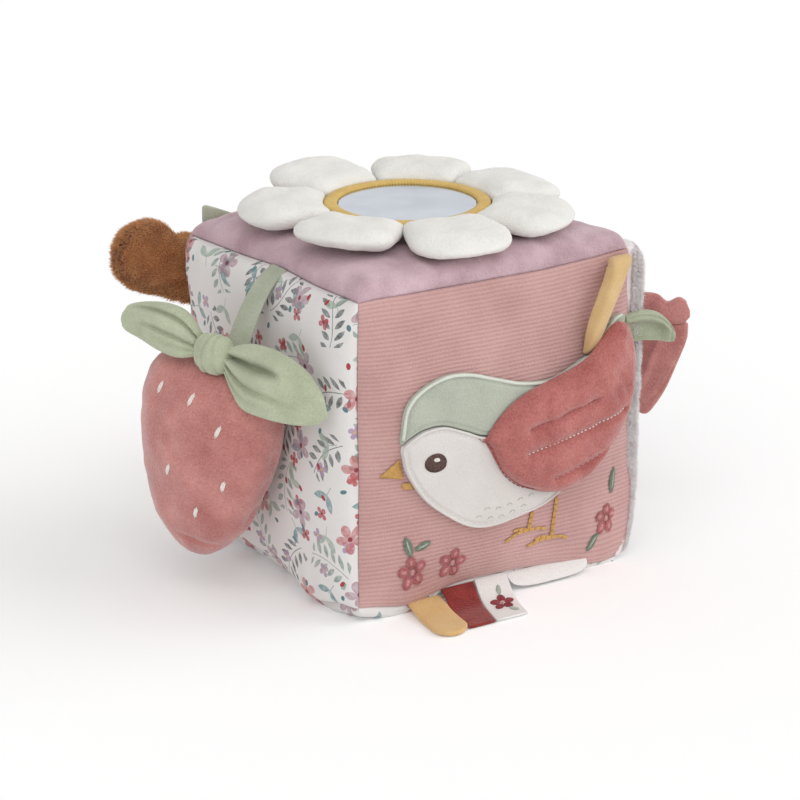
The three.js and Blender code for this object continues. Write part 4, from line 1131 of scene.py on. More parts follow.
wing_shares = (
    [[0.343, 0.555], [0.362, 0.5], [0.42, 0.34], [0.512, 0.212], [0.665, 0.136], [0.825, 0.226],
     [0.942, 0.432], [1, 0.637], [1.011, 0.87], [0.992, 1.041], [0.962, 1.13]],
    [[0.336, 0.575], [0.35, 0.585], [0.39, 0.668], [0.455, 0.757], [0.535, 0.82], [0.64, 0.87],
     [0.735, 0.915], [0.802, 0.968], [0.85, 1.05], [0.893, 1.122], [0.93, 1.15]],
)


def edge_lines(shares):
    """The lower and upper edge of one of the bird's patches, as smooth lines of places on the panel."""
    return [[bird_left, bird_foot] + bird_size * curve_through(line, edge_steps) for line in shares]


def distance_to(places, line):
    """The shortest distance from each place to a line of points: the foot of each segment, held to its ends."""
    a, b = line[:-1], line[1:]
    way = b - a
    share = np.einsum("...nk,nk->...n", places[..., None, :] - a, way) / np.maximum((way**2).sum(-1), 1e-9)
    foot = a + np.clip(share, 0, 1)[..., None] * way
    return np.linalg.norm(places[..., None, :] - foot, axis=-1).min(-1)


def pad(name, edges, place_at, height_at, across=34):
    """A closed pad. Its front has rows from the lower to the upper edge, and height_at gives its height from the
    places and their distance to the outline; its back is flat."""
    lower, upper = edges
    share = (1 - np.cos(np.linspace(0, math.pi, across))) / 2
    places = lower[:, None] + (upper - lower)[:, None] * share[None, :, None]
    outline = np.concatenate([lower, upper[::-1], lower[:1]])
    height = height_at(places, distance_to(places, outline))
    back = places[:, -2:0:-1]
    front_points = place_at(places, height)
    back_points = place_at(back, 0 * back[..., 0])
    return ringed(name, np.concatenate([front_points, back_points], 1))


front_out = np.array([0, -1.0, 0])


def on_front(places, height):
    return sewn_on("front", places[..., 0], places[..., 1], height)


def patch_height(tall, edge, seed, seam=2.0, press=0.6):
    """Rises over edge millimetres to its full height, with a line of stitches pressed in near the outline."""
    def height_at(places, distance):
        rise = tall * (1 - np.exp(-distance / edge)) ** 0.6
        groove = press * np.exp(-((distance - seam) / 0.55) ** 2)
        lumps = 0.12 * soft_noise(np.concatenate([places, places[..., :1] * 0], -1), 14, seed)
        return np.clip(rise - groove + lumps * np.clip(distance / 3, 0, 1), 0.05, None)
    return height_at


cap_edges, breast_edges, wing_edges = (edge_lines(shares) for shares in (cap_shares, breast_shares, wing_shares))
cap_edges[0][:, 1] -= 0.3
breast_edges[1][:, 1] += 0.3
cap_height = patch_height(patch_rise, 0.8, 5)
breast_height = patch_height(patch_rise, 0.8, 6)
dress(pad("bird_cap_patch", cap_edges, on_front, cap_height, across=48), cap_velour, "bird_cap", fill=0.35)
dress(pad("bird_breast_patch", breast_edges, on_front, breast_height, across=48), cream_velour, "bird_breast",
      fill=0.35)


def rolled_edge(name, line, finish, node_name, thick=1.4, around=14):
    """The turned-in cloth along a patch's edge: a soft roll on a line of places on the front."""
    middle = on_front(line, np.full(len(line), patch_rise - thick * 0.42))
    way = unit(np.gradient(middle, axis=0))
    side = unit(np.cross(way, [0, 1.0, 0]))
    angle = even_angles(around)
    fold = thick / 2 * (1 + 0.08 * soft_noise(middle, 5, 77))[:, None, None]
    rings = middle[:, None] + fold * (side[:, None] * np.cos(angle)[:, None]
                                      + front_out * np.sin(angle)[:, None])
    dress(ringed(name, rings), finish, slot=SLOT_OF[node_name], body="block", fill=0.5)


def inside_of(edges, inset):
    """The outline of a patch from the right end of its upper edge, round the left, to its lower right end."""
    lower, upper = edges
    line = np.concatenate([upper[::-1], lower])
    way = unit(np.gradient(line, axis=0))
    return line + np.stack([-way[:, 1], way[:, 0]], -1) * inset


# The cap's rolled edge takes the paler copy of its velour, a painted highlight.
rolled_edge("bird_cap_edge", inside_of(cap_edges, 0.6)[:edge_steps], cap_edge_velour, "bird_cap")
rolled_edge("bird_breast_edge", inside_of(breast_edges, 0.6), cream_velour, "bird_breast", thick=1.2)

# %% [markdown]
# The wing is thick in the middle, thin at its root and its tip, and three lines of stitches quilt it. Each
# line presses a valley into the pad. A fourth line runs along the lower edge, where the root is sewn down.

# %% The quilted wing
wing_back = -half_edge - FACES["front"][2] - sewn_gap - applique_thickness - seat_gap
quilt_lines = [
    np.array([[8.4, 81.4], [43.0, 88.8]]),
    np.array([[7.2, 70.1], [60.9, 80.7]]),
    np.array([[22.1, 56.0], [53.8, 64.4]]),
]
wing_seam = np.array([[-16.0, 80.5], [-9.5, 75.5], [-6.2, 68.5], [-2.0, 61.0], [5.0, 54.6], [14.5, 50.6]])


def wing_height(places, distance):
    share = np.clip((places[..., 0] - (bird_left + 0.34 * bird_size[0])) / (0.66 * bird_size[0]), 0, 1)
    full = wing_thickness * np.sin(math.pi * (0.14 + 0.7 * share)) ** 0.7
    rise = full * (1 - np.exp(-distance / 4.2)) ** 0.62
    for line in quilt_lines:
        rise = rise - 2.6 * np.exp(-(distance_to(places, line) / 1.6) ** 2)
    rise = rise - 2.3 * np.exp(-(distance_to(places, curve_through(wing_seam, 24)) / 1.3) ** 2)
    flat = np.concatenate([places, 0 * places[..., :1]], -1)
    lumps = 0.45 * soft_noise(flat, 15, 31) + 0.18 * soft_noise(flat, 6, 32)
    return np.clip(rise + lumps * np.clip(distance / 4, 0, 1), 0.2, None)


def off_front(places, height):
    """The wing stands in a flat plane in front of the patches."""
    return np.stack([places[..., 0], wing_back - height, places[..., 1]], -1)


dress(pad("bird_wing_pad", wing_edges, off_front, wing_height, across=60), rose_velour, "bird_wing", fill=0.6)

# %% [markdown]
# The tail is a small double flap in the side seam: a thick rolled rim above and round the end, with a crease
# along it, a hollow below it, and a thin lower rim. Its root is a patch on the front. The mustard strap is a
# thick padded tube, sewn in at the top seam and under the bird's back. It stands off the panel between them,
# turned a little to the right.

# %% Tail and mustard strap
tail_shares = [[0, 0, 0.93], [0.35, -0.02, 1], [0.65, 0.1, 0.95], [0.87, 0.32, 0.7], [0.97, 0.46, 0.4]]
tail_length, tail_width, tail_thickness, tail_height = 28.0, 14.5, 3.6, 112.5


def bird_tail(rows=80, around=110):
    along, drop, wide = (curve_through(tail_shares, rows)[:, k][:, None] for k in range(3))
    c, s = round_section(around, 0.6)
    upper = 1 / (1 + np.exp(-(c - 0.42 + 0.25 * along) / 0.05))
    end = 1 / (1 + np.exp(-(along - 0.8) / 0.025))
    crease = np.exp(-((c - 0.8 + 0.25 * along) / 0.06) ** 2) + np.exp(-((along - 0.9) / 0.02) ** 2)
    lower = np.exp(-((c + 0.93) / 0.08) ** 2)
    rim = np.where(s > 0, 2.4 * np.clip(upper + end, 0, 1) - 0.45 - 0.4 * crease + 1.1 * lower, 1)
    seam = half_edge - seam_dip + seat_gap
    x = seam + tail_length * along + 0 * c
    z = tail_height - tail_width * drop + tail_width / 2 * wide * c
    y = -seam - tail_thickness / 2 - tail_thickness / 2 * s * rim
    return ringed("bird_tail_flap", np.stack([x, y, z], -1))


strap_shares = [
    [0.9, 0.95, 0.15], [0.862, 0.89, 0.5], [0.795, 0.8, 0.9], [0.735, 0.71, 1],
    [0.696, 0.62, 0.75], [0.674, 0.53, 0.35], [0.655, 0.43, 0],
]
tail_root_edges = [curve_through(line, 30) for line in ([[57.3, 113.0], [63.0, 109.5], [69.6, 106.5]],
                                                       [[57.3, 119.2], [63.0, 121.0], [69.6, 120.4]])]


def mustard_strap(rows=90, width=12.2, thickness=7.0, bow=4.0):
    x, z, bowed = (curve_through(strap_shares, rows)[:, k] for k in range(3))
    t = np.linspace(0, 1, rows)
    thin = np.sqrt(np.clip(0.3 + t / 0.06, 0, 1)) * (1 - 0.65 * t**5)
    middle = sewn_on("front", half_edge * x, block_middle + half_edge * z, bow * bowed + thickness * thin / 2)
    middle[:, 2] += 1.5 * np.exp(-6 * t)
    middle[:, 0] -= 2.0 * np.sin(math.pi * t)
    turn = math.radians(24) * np.sin(math.pi * t) ** 0.5
    across = np.stack([np.cos(turn), np.sin(turn), 0 * turn], -1)
    up = unit(np.cross(unit(np.gradient(middle, axis=0)), across))
    return band("mustard_band", middle, across * (1 - 0.5 * t**2)[:, None], up * thin[:, None], width, thickness,
                around=48, end=0.2)


tail_cloth = velour("tail_cloth", "8F967D", "B6BCA3", cloud_mm=10, cloud=0.45, grain=0.45)
dress(bird_tail(), tail_cloth, "bird_tail", fill=0.4)
dress(pad("bird_tail_root", tail_root_edges, on_front, patch_height(3.4, 1.2, 8)), tail_cloth,
      slot="sage_velour", body="block", fill=0.4)
strap_cloth = velour("strap_cloth", "C8A36E", "DEBF8E", cloud_mm=12, cloud=0.4, grain_mm=0.7, sheen=0.25)
dress(mustard_strap(), strap_cloth, "yellow_strap", fill=0.4)

# %% [markdown]
# ## Thread work
#
# Embroidery is built as thread: every stitch is a small rounded bar that dives into the cloth at both ends.
# An area is filled with such bars side by side, cut to the area's outline. A sewn line is the same bar, one
# stitch after another. All stitches of one colour on one body are one mesh.

# %% Stitches
def stitch_bars(starts, ends, outs, width, sides=5, rows=6):
    """The points and faces of one bar for each stitch. A bar is an arch between its ends, width wide, and it
    stands half its width above the cloth, which looks along outs."""
    count = len(starts)
    t = np.linspace(0, 1, rows)
    swell = np.sin(math.pi * np.clip(t, 0.04, 0.96)) ** 0.45
    way = unit(ends - starts)
    side = unit(np.cross(way, outs))
    angle = even_angles(sides)
    middle = starts[:, None] + (ends - starts)[:, None] * t[None, :, None]
    middle = middle + outs[:, None] * (width * 0.35 * (swell - 0.35))[None, :, None]
    ring = (side[:, None, None] * np.cos(angle)[:, None] + outs[:, None, None] * np.sin(angle)[:, None])
    points = middle[:, :, None] + ring * (width / 2 * (0.25 + 0.75 * swell))[None, :, None, None]
    points = np.concatenate([starts[:, None], points.reshape(count, -1, 3), ends[:, None]], 1)
    faces = outward(points[0], ring_faces(rows, sides))
    return points.reshape(-1, 3), (faces[None] + np.arange(count)[:, None, None] * points.shape[1]).reshape(-1, 4)


sewing = {}


def sew(colour_thread, body, starts, ends, outs, width):
    """Adds stitches to the work of one thread on one body."""
    starts, ends = np.atleast_2d(starts), np.atleast_2d(ends)
    made = stitch_bars(starts, ends, np.broadcast_to(outs, starts.shape), width)
    sewing.setdefault((colour_thread.name, body), []).append(made)


def filled(outline, angle, pitch):
    """Parallel stitches that fill an outline, as pairs of places: each line across it, cut where it crosses."""
    turn = np.array([[math.cos(angle), math.sin(angle)], [-math.sin(angle), math.cos(angle)]])
    flat = outline @ turn.T
    a, b = flat, np.roll(flat, -1, 0)
    pairs = []
    for level in np.arange(flat[:, 1].min() + pitch / 2, flat[:, 1].max(), pitch):
        crossing = (a[:, 1] < level) != (b[:, 1] < level)
        x = a[crossing, 0] + (level - a[crossing, 1]) / (b[crossing, 1] - a[crossing, 1]) * (
            b[crossing, 0] - a[crossing, 0])
        x.sort()
        pairs += [((x[k], level), (x[k + 1], level)) for k in range(0, len(x) - 1, 2)]
    return np.array(pairs) @ turn


def spaced(line, length, gap):
    """Stitches with gaps along a line of places, as pairs. Their length is fitted to the line's."""
    step = np.linalg.norm(np.diff(line, axis=0), axis=1)
    far = np.concatenate([[0], np.cumsum(step)])
    count = max(1, round((far[-1] + gap) / (length + gap)))
    starts = np.arange(count) * (far[-1] + gap) / count
    length = (far[-1] + gap) / count - gap
    return np.stack([np.stack([np.interp(starts + extra, far, line[:, k]) for k in range(line.shape[1])], -1)
                     for extra in (0, length)], 1)


def sew_front(colour_thread, pairs, width, lift=0.0, surface=None):
    """Stitches on the front, or on a patch whose height surface gives."""
    heights = [lift if surface is None else surface(pairs[:, k]) for k in (0, 1)]
    starts, ends = (on_front(pairs[:, k], heights[k]) for k in (0, 1))
    sew(colour_thread, "block", starts, ends, front_out, width)


def blob(middle, half_length, half_width, slant=0.0, point=1.0, count=28):
    """The outline of an oval, pointed at its ends where point is above 1."""
    angle = even_angles(count)
    x = half_length * np.cos(angle)
    y = half_width * np.sign(np.sin(angle)) * np.abs(np.sin(angle)) ** point
    return np.array(middle) + np.stack([x * math.cos(slant) - y * math.sin(slant),
                                        x * math.sin(slant) + y * math.cos(slant)], -1)


def petals_of(middle, radius, first, count=5):
    """The outlines of a flower's petals, with the way that each looks."""
    for k in range(count):
        way = first + math.tau * k / count
        centre = np.array(middle) + radius * 0.62 * np.array([math.cos(way), math.sin(way)])
        yield blob(centre, radius * 0.42, radius * 0.34, way), way


def height_on(edges, height_at):
    """The height of a patch at places, from its own height formula."""
    lower, upper = edges
    outline = np.concatenate([lower, upper[::-1], lower[:1]])
    return lambda places: height_at(places, distance_to(places, outline))


# %% The bird's face, legs and edges
cap_surface = height_on(cap_edges, cap_height)
breast_surface = height_on(breast_edges, breast_height)
eye_middle = np.array([-37.0, 73.2])
eye = blob(eye_middle, 5.4, 4.5, -0.25)
sew_front(brown_thread, filled(eye, 0.9, 0.4), 0.55, surface=lambda p: breast_surface(p) + 0.1)
sew_front(white_thread, filled(blob(eye_middle + [0.2, 1.6], 1.5, 1.0, -0.2), 0.9, 0.4), 0.5,
          surface=lambda p: breast_surface(p) + 0.55)
upper_beak = np.array([[-52.4, 76.8], [-62.4, 68.6], [-50.6, 66.9]])
lower_beak = np.array([[-50.8, 64.8], [-46.2, 64.4], [-45.6, 61.0], [-51.2, 61.9]])
sew_front(mustard_thread, filled(upper_beak, 0.55, 0.4), 0.55, 0.1)
sew_front(mustard_thread, filled(lower_beak, 0.2, 0.4), 0.55, 0.1)
legs = [
    [[16.9, 38.2], [16.2, 34.0], [15.4, 29.4]], [[30.4, 42.0], [29.3, 32.0], [28.4, 23.0]],
    [[15.4, 29.4], [9.0, 28.9], [3.2, 26.0]], [[15.4, 29.4], [10.6, 30.8], [7.0, 30.6]],
    [[15.4, 29.4], [20.4, 29.4], [25.2, 28.0]], [[28.4, 23.0], [22.0, 22.9], [15.4, 21.0]],
    [[28.4, 23.0], [23.6, 24.4], [19.4, 23.8]], [[28.4, 23.0], [33.0, 22.8], [37.6, 21.1]],
]
for k, line in enumerate(legs):
    thick = 1.25 if k < 2 else 0.85
    route = curve_through(line, 24)
    way = unit(np.gradient(route, axis=0))
    sides = np.stack([-way[:, 1], way[:, 0]], -1) * thick
    places = route[:, None] + sides[:, None] * np.linspace(-1, 1, 5)[None, :, None] * 0.6
    for lane in range(5):
        sew_front(mustard_thread, spaced(places[:, lane], 3.0, 0.1), 0.5, 0.12)


def inset_edge(edges, inset):
    """A patch's outline, moved in: along its lower edge from the left, and back along its upper edge."""
    lower, upper = edges
    outline = np.concatenate([lower, upper[::-1]])
    way = unit(np.roll(outline, -1, 0) - np.roll(outline, 1, 0))
    return outline + np.stack([-way[:, 1], way[:, 0]], -1) * inset


for tone, edges, surface, first, last in ((grey_thread, cap_edges, cap_surface, 188, 300),
                                          (white_thread, breast_edges, breast_surface, 0, 108),
                                          (white_thread, breast_edges, breast_surface, 218, 300)):
    sew_front(tone, spaced(inset_edge(edges, 2.0)[first:last], 2.2, 0.7), 0.42, surface=surface)
for x, z in [(-16, 43.5), (-10, 41.8), (-4, 41.2), (2, 42.0), (8, 43.2), (-12, 46.5), (-6, 45.4), (0, 45.8),
             (6, 46.8), (12, 47.5)]:
    tick = np.array([[[x, z], [x + 1.6, z + 1.1]], [[x + 1.8, z + 1.1], [x + 3.2, z]]])
    sew_front(grey_thread, tick, 0.38, surface=breast_surface)

# %% Small flowers and leaves
for centre, reach, first in (((-45.2, 22.0), 7.2, 0.5), ((-24.4, 21.6), 7.2, 0.1), ((60.6, 25.5), 6.6, 0.3)):
    for outline, way in petals_of(centre, reach, first):
        sew_front(red_thread, filled(outline, way, 0.4), 0.46)
        sew_front(pink_thread, filled(blob(outline.mean(0), reach * 0.22, reach * 0.11, way), way, 0.4), 0.4, 0.2)
    sew_front(pink_thread, filled(blob(centre, 1.2, 1.2), 0.4, 0.4), 0.45, 0.25)
for centre, slant, long in (((-47.6, 34.0), 1.9, 5.2), ((-40.4, 33.4), 0.35, 4.2), ((64.3, 42.2), 1.45, 6.0),
                            ((53.4, 17.4), 0.8, 4.2)):
    for outline, tone, lift in ((blob(centre, long, long * 0.42, slant, 1.5), green_thread, 0.0),
                                (blob(centre, long * 0.8, 0.35, slant), grey_thread, 0.25)):
        sew_front(tone, filled(outline, slant + (0.7 if lift == 0 else 0), 0.4), 0.45, lift)

# %% Stitches that quilt the wing
wing_surface = height_on(wing_edges, wing_height)


def sew_wing(colour_thread, pairs, width):
    starts, ends = (off_front(pairs[:, k], wing_surface(pairs[:, k])) for k in (0, 1))
    sew(colour_thread, "bird_wing", starts, ends, front_out, width)


for line, tone, length, gap, width in zip(quilt_lines, (rose_thread, white_thread, pink_thread), (2.0, 1.3, 1.8),
                                          (0.9, 0.8, 1.0), (0.6, 0.85, 0.8)):
    sew_wing(tone, spaced(line, length, gap), width)
sew_wing(rose_thread, spaced(curve_through(wing_seam, 60), 2.0, 0.8), 0.55)
print("stitches so far:", sum(len(points) // 32 for work in sewing.values() for points, _ in work))

# %% [markdown]
# ## Seeds, butterfly and squirrel
#
# The strawberry's seeds are short ovals of white thread. The butterfly stands out of the plush side on its
# mustard body, its four wings stuffed and edged with a line of stitches. On the back, a squirrel's body, head
# and ear are flat patches, and its thick tail hangs loose; only the tail's end shows from the front.

# %% Seeds
berry_faces = [(-18.6, 32.3), (0.2, 33.7), (16.1, 23.9), (-6.5, -1.9), (20.6, -1.6), (8.3, -18.7)]
back_faces = [(20.0, 24.0), (-3.0, 18.0), (-22.0, 4.0), (12.0, -4.0), (-8.0, -20.0), (14.0, -26.0)]
for side, seeds in ((1, berry_faces), (-1, back_faces)):
    for across, up in seeds:
        tries = side * np.linspace(0.02, math.pi - 0.02, 400)
        slant = 1.35 if side > 0 else 1.8
        for a, b in filled(blob((across, up), 3.1, 0.8, slant), slant, 0.55):
            ends = []
            for spot in (a, b):
                reach, out = berry_skin(np.full(400, spot[1]), tries)
                k = np.abs(reach - spot[0]).argmin()
                ends.append(berry_point(np.array(spot[0]), np.array(spot[1]), np.array(out[k] + side * 0.1)))
            sew(white_thread, "strawberry", ends[0], ends[1], berry_out * side, 0.85)

# %% Butterfly
middle_length, middle_radius = 42.0, 4.0
butterfly_x = half_edge + FACES["right"][2] + sewn_gap + middle_radius
butterfly_z = 87.0
lobe_start, lobe_length, lobe_height, lobe_thickness = 4.45, 53.0, 60.0, 6.0
wing_opening = math.radians(47)
upper_shares = [[0, 0.02, 0.13, 0.4], [0.18, 0.06, 0.26, 0.85], [0.35, 0.11, 0.35, 1], [0.53, 0.13, 0.385, 1],
                [0.69, 0.137, 0.385, 1], [0.78, 0.143, 0.33, 1], [0.875, 0.15, 0.37, 0.9],
                [0.94, 0.165, 0.35, 0.7], [0.985, 0.19, 0.29, 0.45]]
lower_shares = [[0, -0.17, 0.01, 0.4], [0.18, -0.28, 0.053, 0.85], [0.35, -0.43, 0.103, 1], [0.53, -0.585, 0.124, 1],
                [0.62, -0.61, 0.132, 1], [0.7, -0.53, 0.136, 0.95], [0.8, -0.37, 0.144, 0.9],
                [0.9, -0.14, 0.155, 0.85], [0.97, 0.03, 0.178, 0.5]]
# A crease in each upper lobe and a ridge in each lower one: where it lies along the wing in the middle of the
# lobe, how much farther out at its top, and how high it is as a share of the lobe's thickness
lobe_folds = {"upper": (0.6, 0.1, -0.5), "lower": (0.62, 0.16, 0.55)}


def butterfly_wing(name, side, shares, fold, rows=110, around=90):
    """A lobe whose section is a flattened round, pressed in along a line of stitches near its edge."""
    along, low, high, thick = (curve_through(shares, rows)[:, k][:, None] for k in range(4))
    c, s = round_section(around, 0.7)
    edge = 1 - 0.2 * np.exp(-((np.abs(c) - 0.74) / 0.07) ** 2)
    place, lean, tall = fold
    vein = 1 + tall * np.exp(-((along - place - lean * c) / 0.045) ** 2)
    away = np.array([math.cos(side * wing_opening), math.sin(side * wing_opening), 0])
    out = np.cross(away, upright)
    rounded = np.clip((1.0 - along) / 0.05, 0.02, 1) ** 0.5
    reach = lobe_start + lobe_length * along + 0 * c
    rise = lobe_height * ((low + high) / 2 + (high - low) / 2 * c * rounded)
    lumps = 0.2 * soft_noise(np.stack([reach, rise, 0 * rise + side], -1), 9, 71)
    height = lobe_thickness / 2 * thick * s * edge * vein * (0.4 + 0.6 * rounded) + lumps * np.sign(s)
    middle = np.array([butterfly_x, 0, butterfly_z])
    return ringed(name, middle + reach[..., None] * away + rise[..., None] * upright + height[..., None] * out)


for name, side in (("front", -1), ("back", 1)):
    for lobe, shares in (("upper", upper_shares), ("lower", lower_shares)):
        dress(butterfly_wing(f"butterfly_{lobe}_{name}", side, shares, lobe_folds[lobe]), berry_velour,
              f"butterfly_{lobe}_wing_{name}", fill=0.6)


def butterfly_body(rows=70, around=40):
    shares = [[0.04, 0.5], [0.14, 0.85], [0.3, 1], [0.55, 0.9], [0.72, 0.75], [0.8, 0.95], [0.92, 0.9], [0.98, 0.5]]
    up, wide = (curve_through(shares, rows)[:, k][:, None] for k in range(2))
    angle = even_angles(around)
    radius = middle_radius * wide * (1 + 0.02 * np.cos(up * 60))
    return ringed("butterfly_middle", np.stack([butterfly_x + radius * np.cos(angle), radius * np.sin(angle),
                                                butterfly_z + middle_length * (up - 0.5) + 0 * angle], -1))


dress(butterfly_body(), mustard_cloth, "butterfly_body", fill=0.8)

# %% Squirrel patches
squirrel_foot = bottom_seam_height + 12.0
squirrel_height, squirrel_width, head_length, head_width = 78.0, 50.0, 36.0, 28.0
body_shares = [[0, -0.26, 0.42], [0.05, -0.42, 0.52], [0.14, -0.48, 0.36], [0.3, -0.5, 0.3], [0.5, -0.46, 0.3],
               [0.7, -0.34, 0.28], [0.86, -0.2, 0.25], [0.96, -0.08, 0.22], [1.04, -0.02, 0.19]]


def on_back(places, height):
    return sewn_on("back", places[..., 0], places[..., 1], height)


def oval_edges(middle, length, width, turn, steps=60):
    share = (1 - np.cos(np.linspace(0.16, math.pi - 0.16, steps))) / 2
    half = width * np.sqrt(share * (1 - share))
    along = length * (share - 0.5)
    lines = [np.stack([along, side * half], -1) for side in (-1, 1)]
    turned = np.array([[math.cos(turn), math.sin(turn)], [-math.sin(turn), math.cos(turn)]])
    return [line @ turned + middle for line in lines]


up, back_side, front_side = curve_through(body_shares, 90).T
body_edges = [np.stack([squirrel_width * side, squirrel_foot + squirrel_height * up], -1)
              for side in (back_side, front_side)]
head_middle = np.array([head_length * 0.22, squirrel_foot + squirrel_height + head_width * 0.48])
head_edges = oval_edges(head_middle, head_length, head_width, math.radians(-12))
ear_edges = oval_edges(head_middle + [-head_length * 0.22, head_width * 0.76], 15.0, 9.0, math.radians(105))
squirrel_patch = patch_height(3.4, 1.6, 9, seam=2.2)
for node_name, edges in (("squirrel_body", body_edges), ("squirrel_head", head_edges), ("squirrel_ear", ear_edges)):
    dress(pad(f"{node_name}_patch", edges, on_back, squirrel_patch), brown_backing, node_name, fill=0.5)
head_surface = height_on(head_edges, squirrel_patch)
for tone, outline, lift in ((brown_thread, blob(head_middle + [9.0, 2.0], 2.2, 2.0), 0.1),
                            (white_thread, blob(head_middle + [9.5, 2.7], 0.7, 0.6), 0.5)):
    pairs = filled(outline, 0.3, 0.4)
    starts, ends = (on_back(pairs[:, k], head_surface(pairs[:, k]) + lift) for k in (0, 1))
    sew(tone, "block", starts, ends, -front_out, 0.5)

# %% Squirrel tail
tail_form_shares = [
    [0, 0, 0.38, 0.35], [0.1, 0.12, 0.46, 0.55], [0.24, 0.29, 0.64, 0.85], [0.42, 0.46, 0.86, 1],
    [0.62, 0.575, 0.97, 1], [0.8, 0.64, 0.97, 0.95], [0.93, 0.675, 0.76, 0.75], [0.985, 0.69, 0.46, 0.5],
    [1.0, 0.695, 0.1, 0.2],
]
plush_tail = {"length": 81.0, "width": 35.0, "thickness": 24.0, "root": 0.35 * 24.0 / 2}


def tail_skin(rows, around, inset):
    """The tail's skin as rings: a bent way, and a full section across it whose lower side keeps level. Its upper
    side dips where it leaves the block."""
    along, rise, wide, thick = (curve_through(tail_form_shares, rows)[:, k] for k in range(4))
    middle = np.stack([along, rise], -1) * plush_tail["length"]
    way = unit(np.gradient(middle, axis=0))
    half = np.stack([-way[:, 1], way[:, 0]], -1) * (plush_tail["width"] / 2 * wide - inset)[:, None]
    c, s = round_section(around, 0.8)
    root = sewn_on("back", np.array(half_edge * -0.29), np.array(80.0), plush_tail["root"])
    dip = 1 - 0.4 * np.exp(-((along[:, None] - 0.66) / 0.09) ** 2) * np.clip(c, 0, 1)
    flat = middle[:, None] + half[:, None] * (c * dip)[..., None]
    above = plush_tail["thickness"] * thick[:, None] - plush_tail["root"] - inset
    height = np.where(s > 0, s * above, s * (plush_tail["root"] - min(inset, 1.5)))
    return np.stack([root[0] - flat[..., 0], root[1] + height, root[2] + flat[..., 1]], -1)


dress(ringed("plush_tail", tail_skin(90, 72, inset=1.4)), brown_backing, "squirrel_tail", fill=0.7)

# %% [markdown]
# ## Ribbon tabs
#
# Four tabs hang out of the lower front seam and lie on the floor: a padded mustard tongue, a velvet ribbon, a
# woven ribbon with an embroidered flower, and a blank label. A sage tab stands in the top seam at the back.
# Each is a band along a bent route.

# %% Tabs
tab_width, tab_gap, tab_start = 17.1, 0.5, 44.1
ribbon_thickness = 1.2
tab_lengths = [33.0, 30.0, 30.0]
tab_skews = [4.0, 6.2, 8.1]
tab_drops = [3.2, 0.8, 0.0]  # how far the sagging seam takes each tab's root down
tab_shares = [[0, 0], [0.12, 0.3], [0.27, 0.68], [0.42, 0.92], [0.6, 1], [0.8, 1], [1, 1]]


def tab_route(order, thickness, rows=70):
    """The middles of a tab's rows: out from the seam, and down to the floor."""
    out, down = (curve_through(tab_shares, rows)[:, k] for k in range(2))
    left = -tab_start + (tab_width + tab_gap) * order
    start = bottom_seam_height + seam_dip - seat_gap - thickness / 2 - tab_drops[order]
    x = left + tab_width / 2 - tab_skews[order] * out
    y = -half_edge + seam_dip - seat_gap - tab_lengths[order] * out
    z = start - (start - 0.3 - thickness / 2) * np.clip(down, 0, 1)
    return np.stack([x, y, z], -1), out


def floor_tab(name, order, thickness, rounded):
    middles, out = tab_route(order, thickness)
    narrow = 0.18 if order == 1 else 0.03
    wide = np.sqrt(np.clip(1 - ((out - 0.72) / 0.285).clip(0) ** 2.6, 0.02, 1)) if rounded else 1 - narrow * out
    across = np.array([1.0, 0, 0]) * wide[:, None]
    wave = 0.2 * np.sin(out * 9 + order * 2)
    middles = middles + upright * np.clip(wave, 0, 1)[:, None] * np.clip(out * 2, 0, 1)[:, None]
    up = unit(np.cross(unit(np.gradient(middles, axis=0)), np.array([-1.0, 0, 0])))
    return band(name, middles, across, up, tab_width, thickness * 0.92, around=44, end=0.1)


dress(floor_tab("tab_tongue", 0, 2.4, True), mustard_cloth, "tab_yellow", fill=0.4)
for name, order, finish, node_name in (("tab_velvet", 1, wine_velvet, "tab_red"),
                                       ("tab_woven", 2, white_ribbon, "tab_flower")):
    piece = dress(floor_tab(name, order, ribbon_thickness, False), finish, node_name)
    length = float(cloth_lengths(tab_route(order, ribbon_thickness)[0][:, None], 0)[-1, 0])
    length * MM


def blank_label(rows=40, around=120, width=43.0, length=8.6, thickness=1.2):
    shares = [[0, 1], [0.45, 0.99], [0.75, 0.9], [0.93, 0.68], [1, 0.4]]
    share, wide = (curve_through(shares, rows)[:, k] for k in range(2))
    start = bottom_seam_height + seam_dip - seat_gap - thickness
    drop = start - 0.3 - thickness
    out = math.sqrt(length**2 - drop**2)
    left = -tab_start + 3 * (tab_width + tab_gap) - tab_gap
    bulge = 0.5 * np.sin(math.pi * share)
    middles = np.stack([left + width / 2 + 0 * share, -half_edge + seam_dip - seat_gap - out * share - bulge * 0.6,
                        start - drop * share + bulge * 0.3], -1)
    across = np.array([1.0, 0, 0]) * wide[:, None]
    up = np.tile(unit(np.array([0, -drop, out])), (rows, 1))
    return band("tab_blank", middles, across, up, width, thickness * 0.8, around=around, end=0.1)


dress(blank_label(), white_ribbon, "tab_label", fill=0.1)


def sage_tab(rows=60, around=30, tallest=9.7, thickness=2.2):
    """The tab's free edge slopes down towards the middle of the block."""
    shares = [[-0.5, 1], [-0.38, 1.02], [0, 0.75], [0.38, 0.45], [0.5, 0.34]]
    across, tall = (curve_through(shares, rows)[:, k] for k in range(2))
    seam = half_edge - seam_dip + seat_gap + 1.2
    foot = bottom_seam_height + block_edge + seat_gap - 1.4
    height = tallest * tall
    middles = np.stack([-57.5 + tab_width * across, seam + 0 * across, foot + height / 2], -1)
    return band("tab_corner", middles, upright * (height / tallest)[:, None], np.tile([0, 1.0, 0], (rows, 1)),
                tallest, thickness, around=around, end=0.2)


dress(sage_tab(), sage_cloth, "tab_sage", fill=0.4)

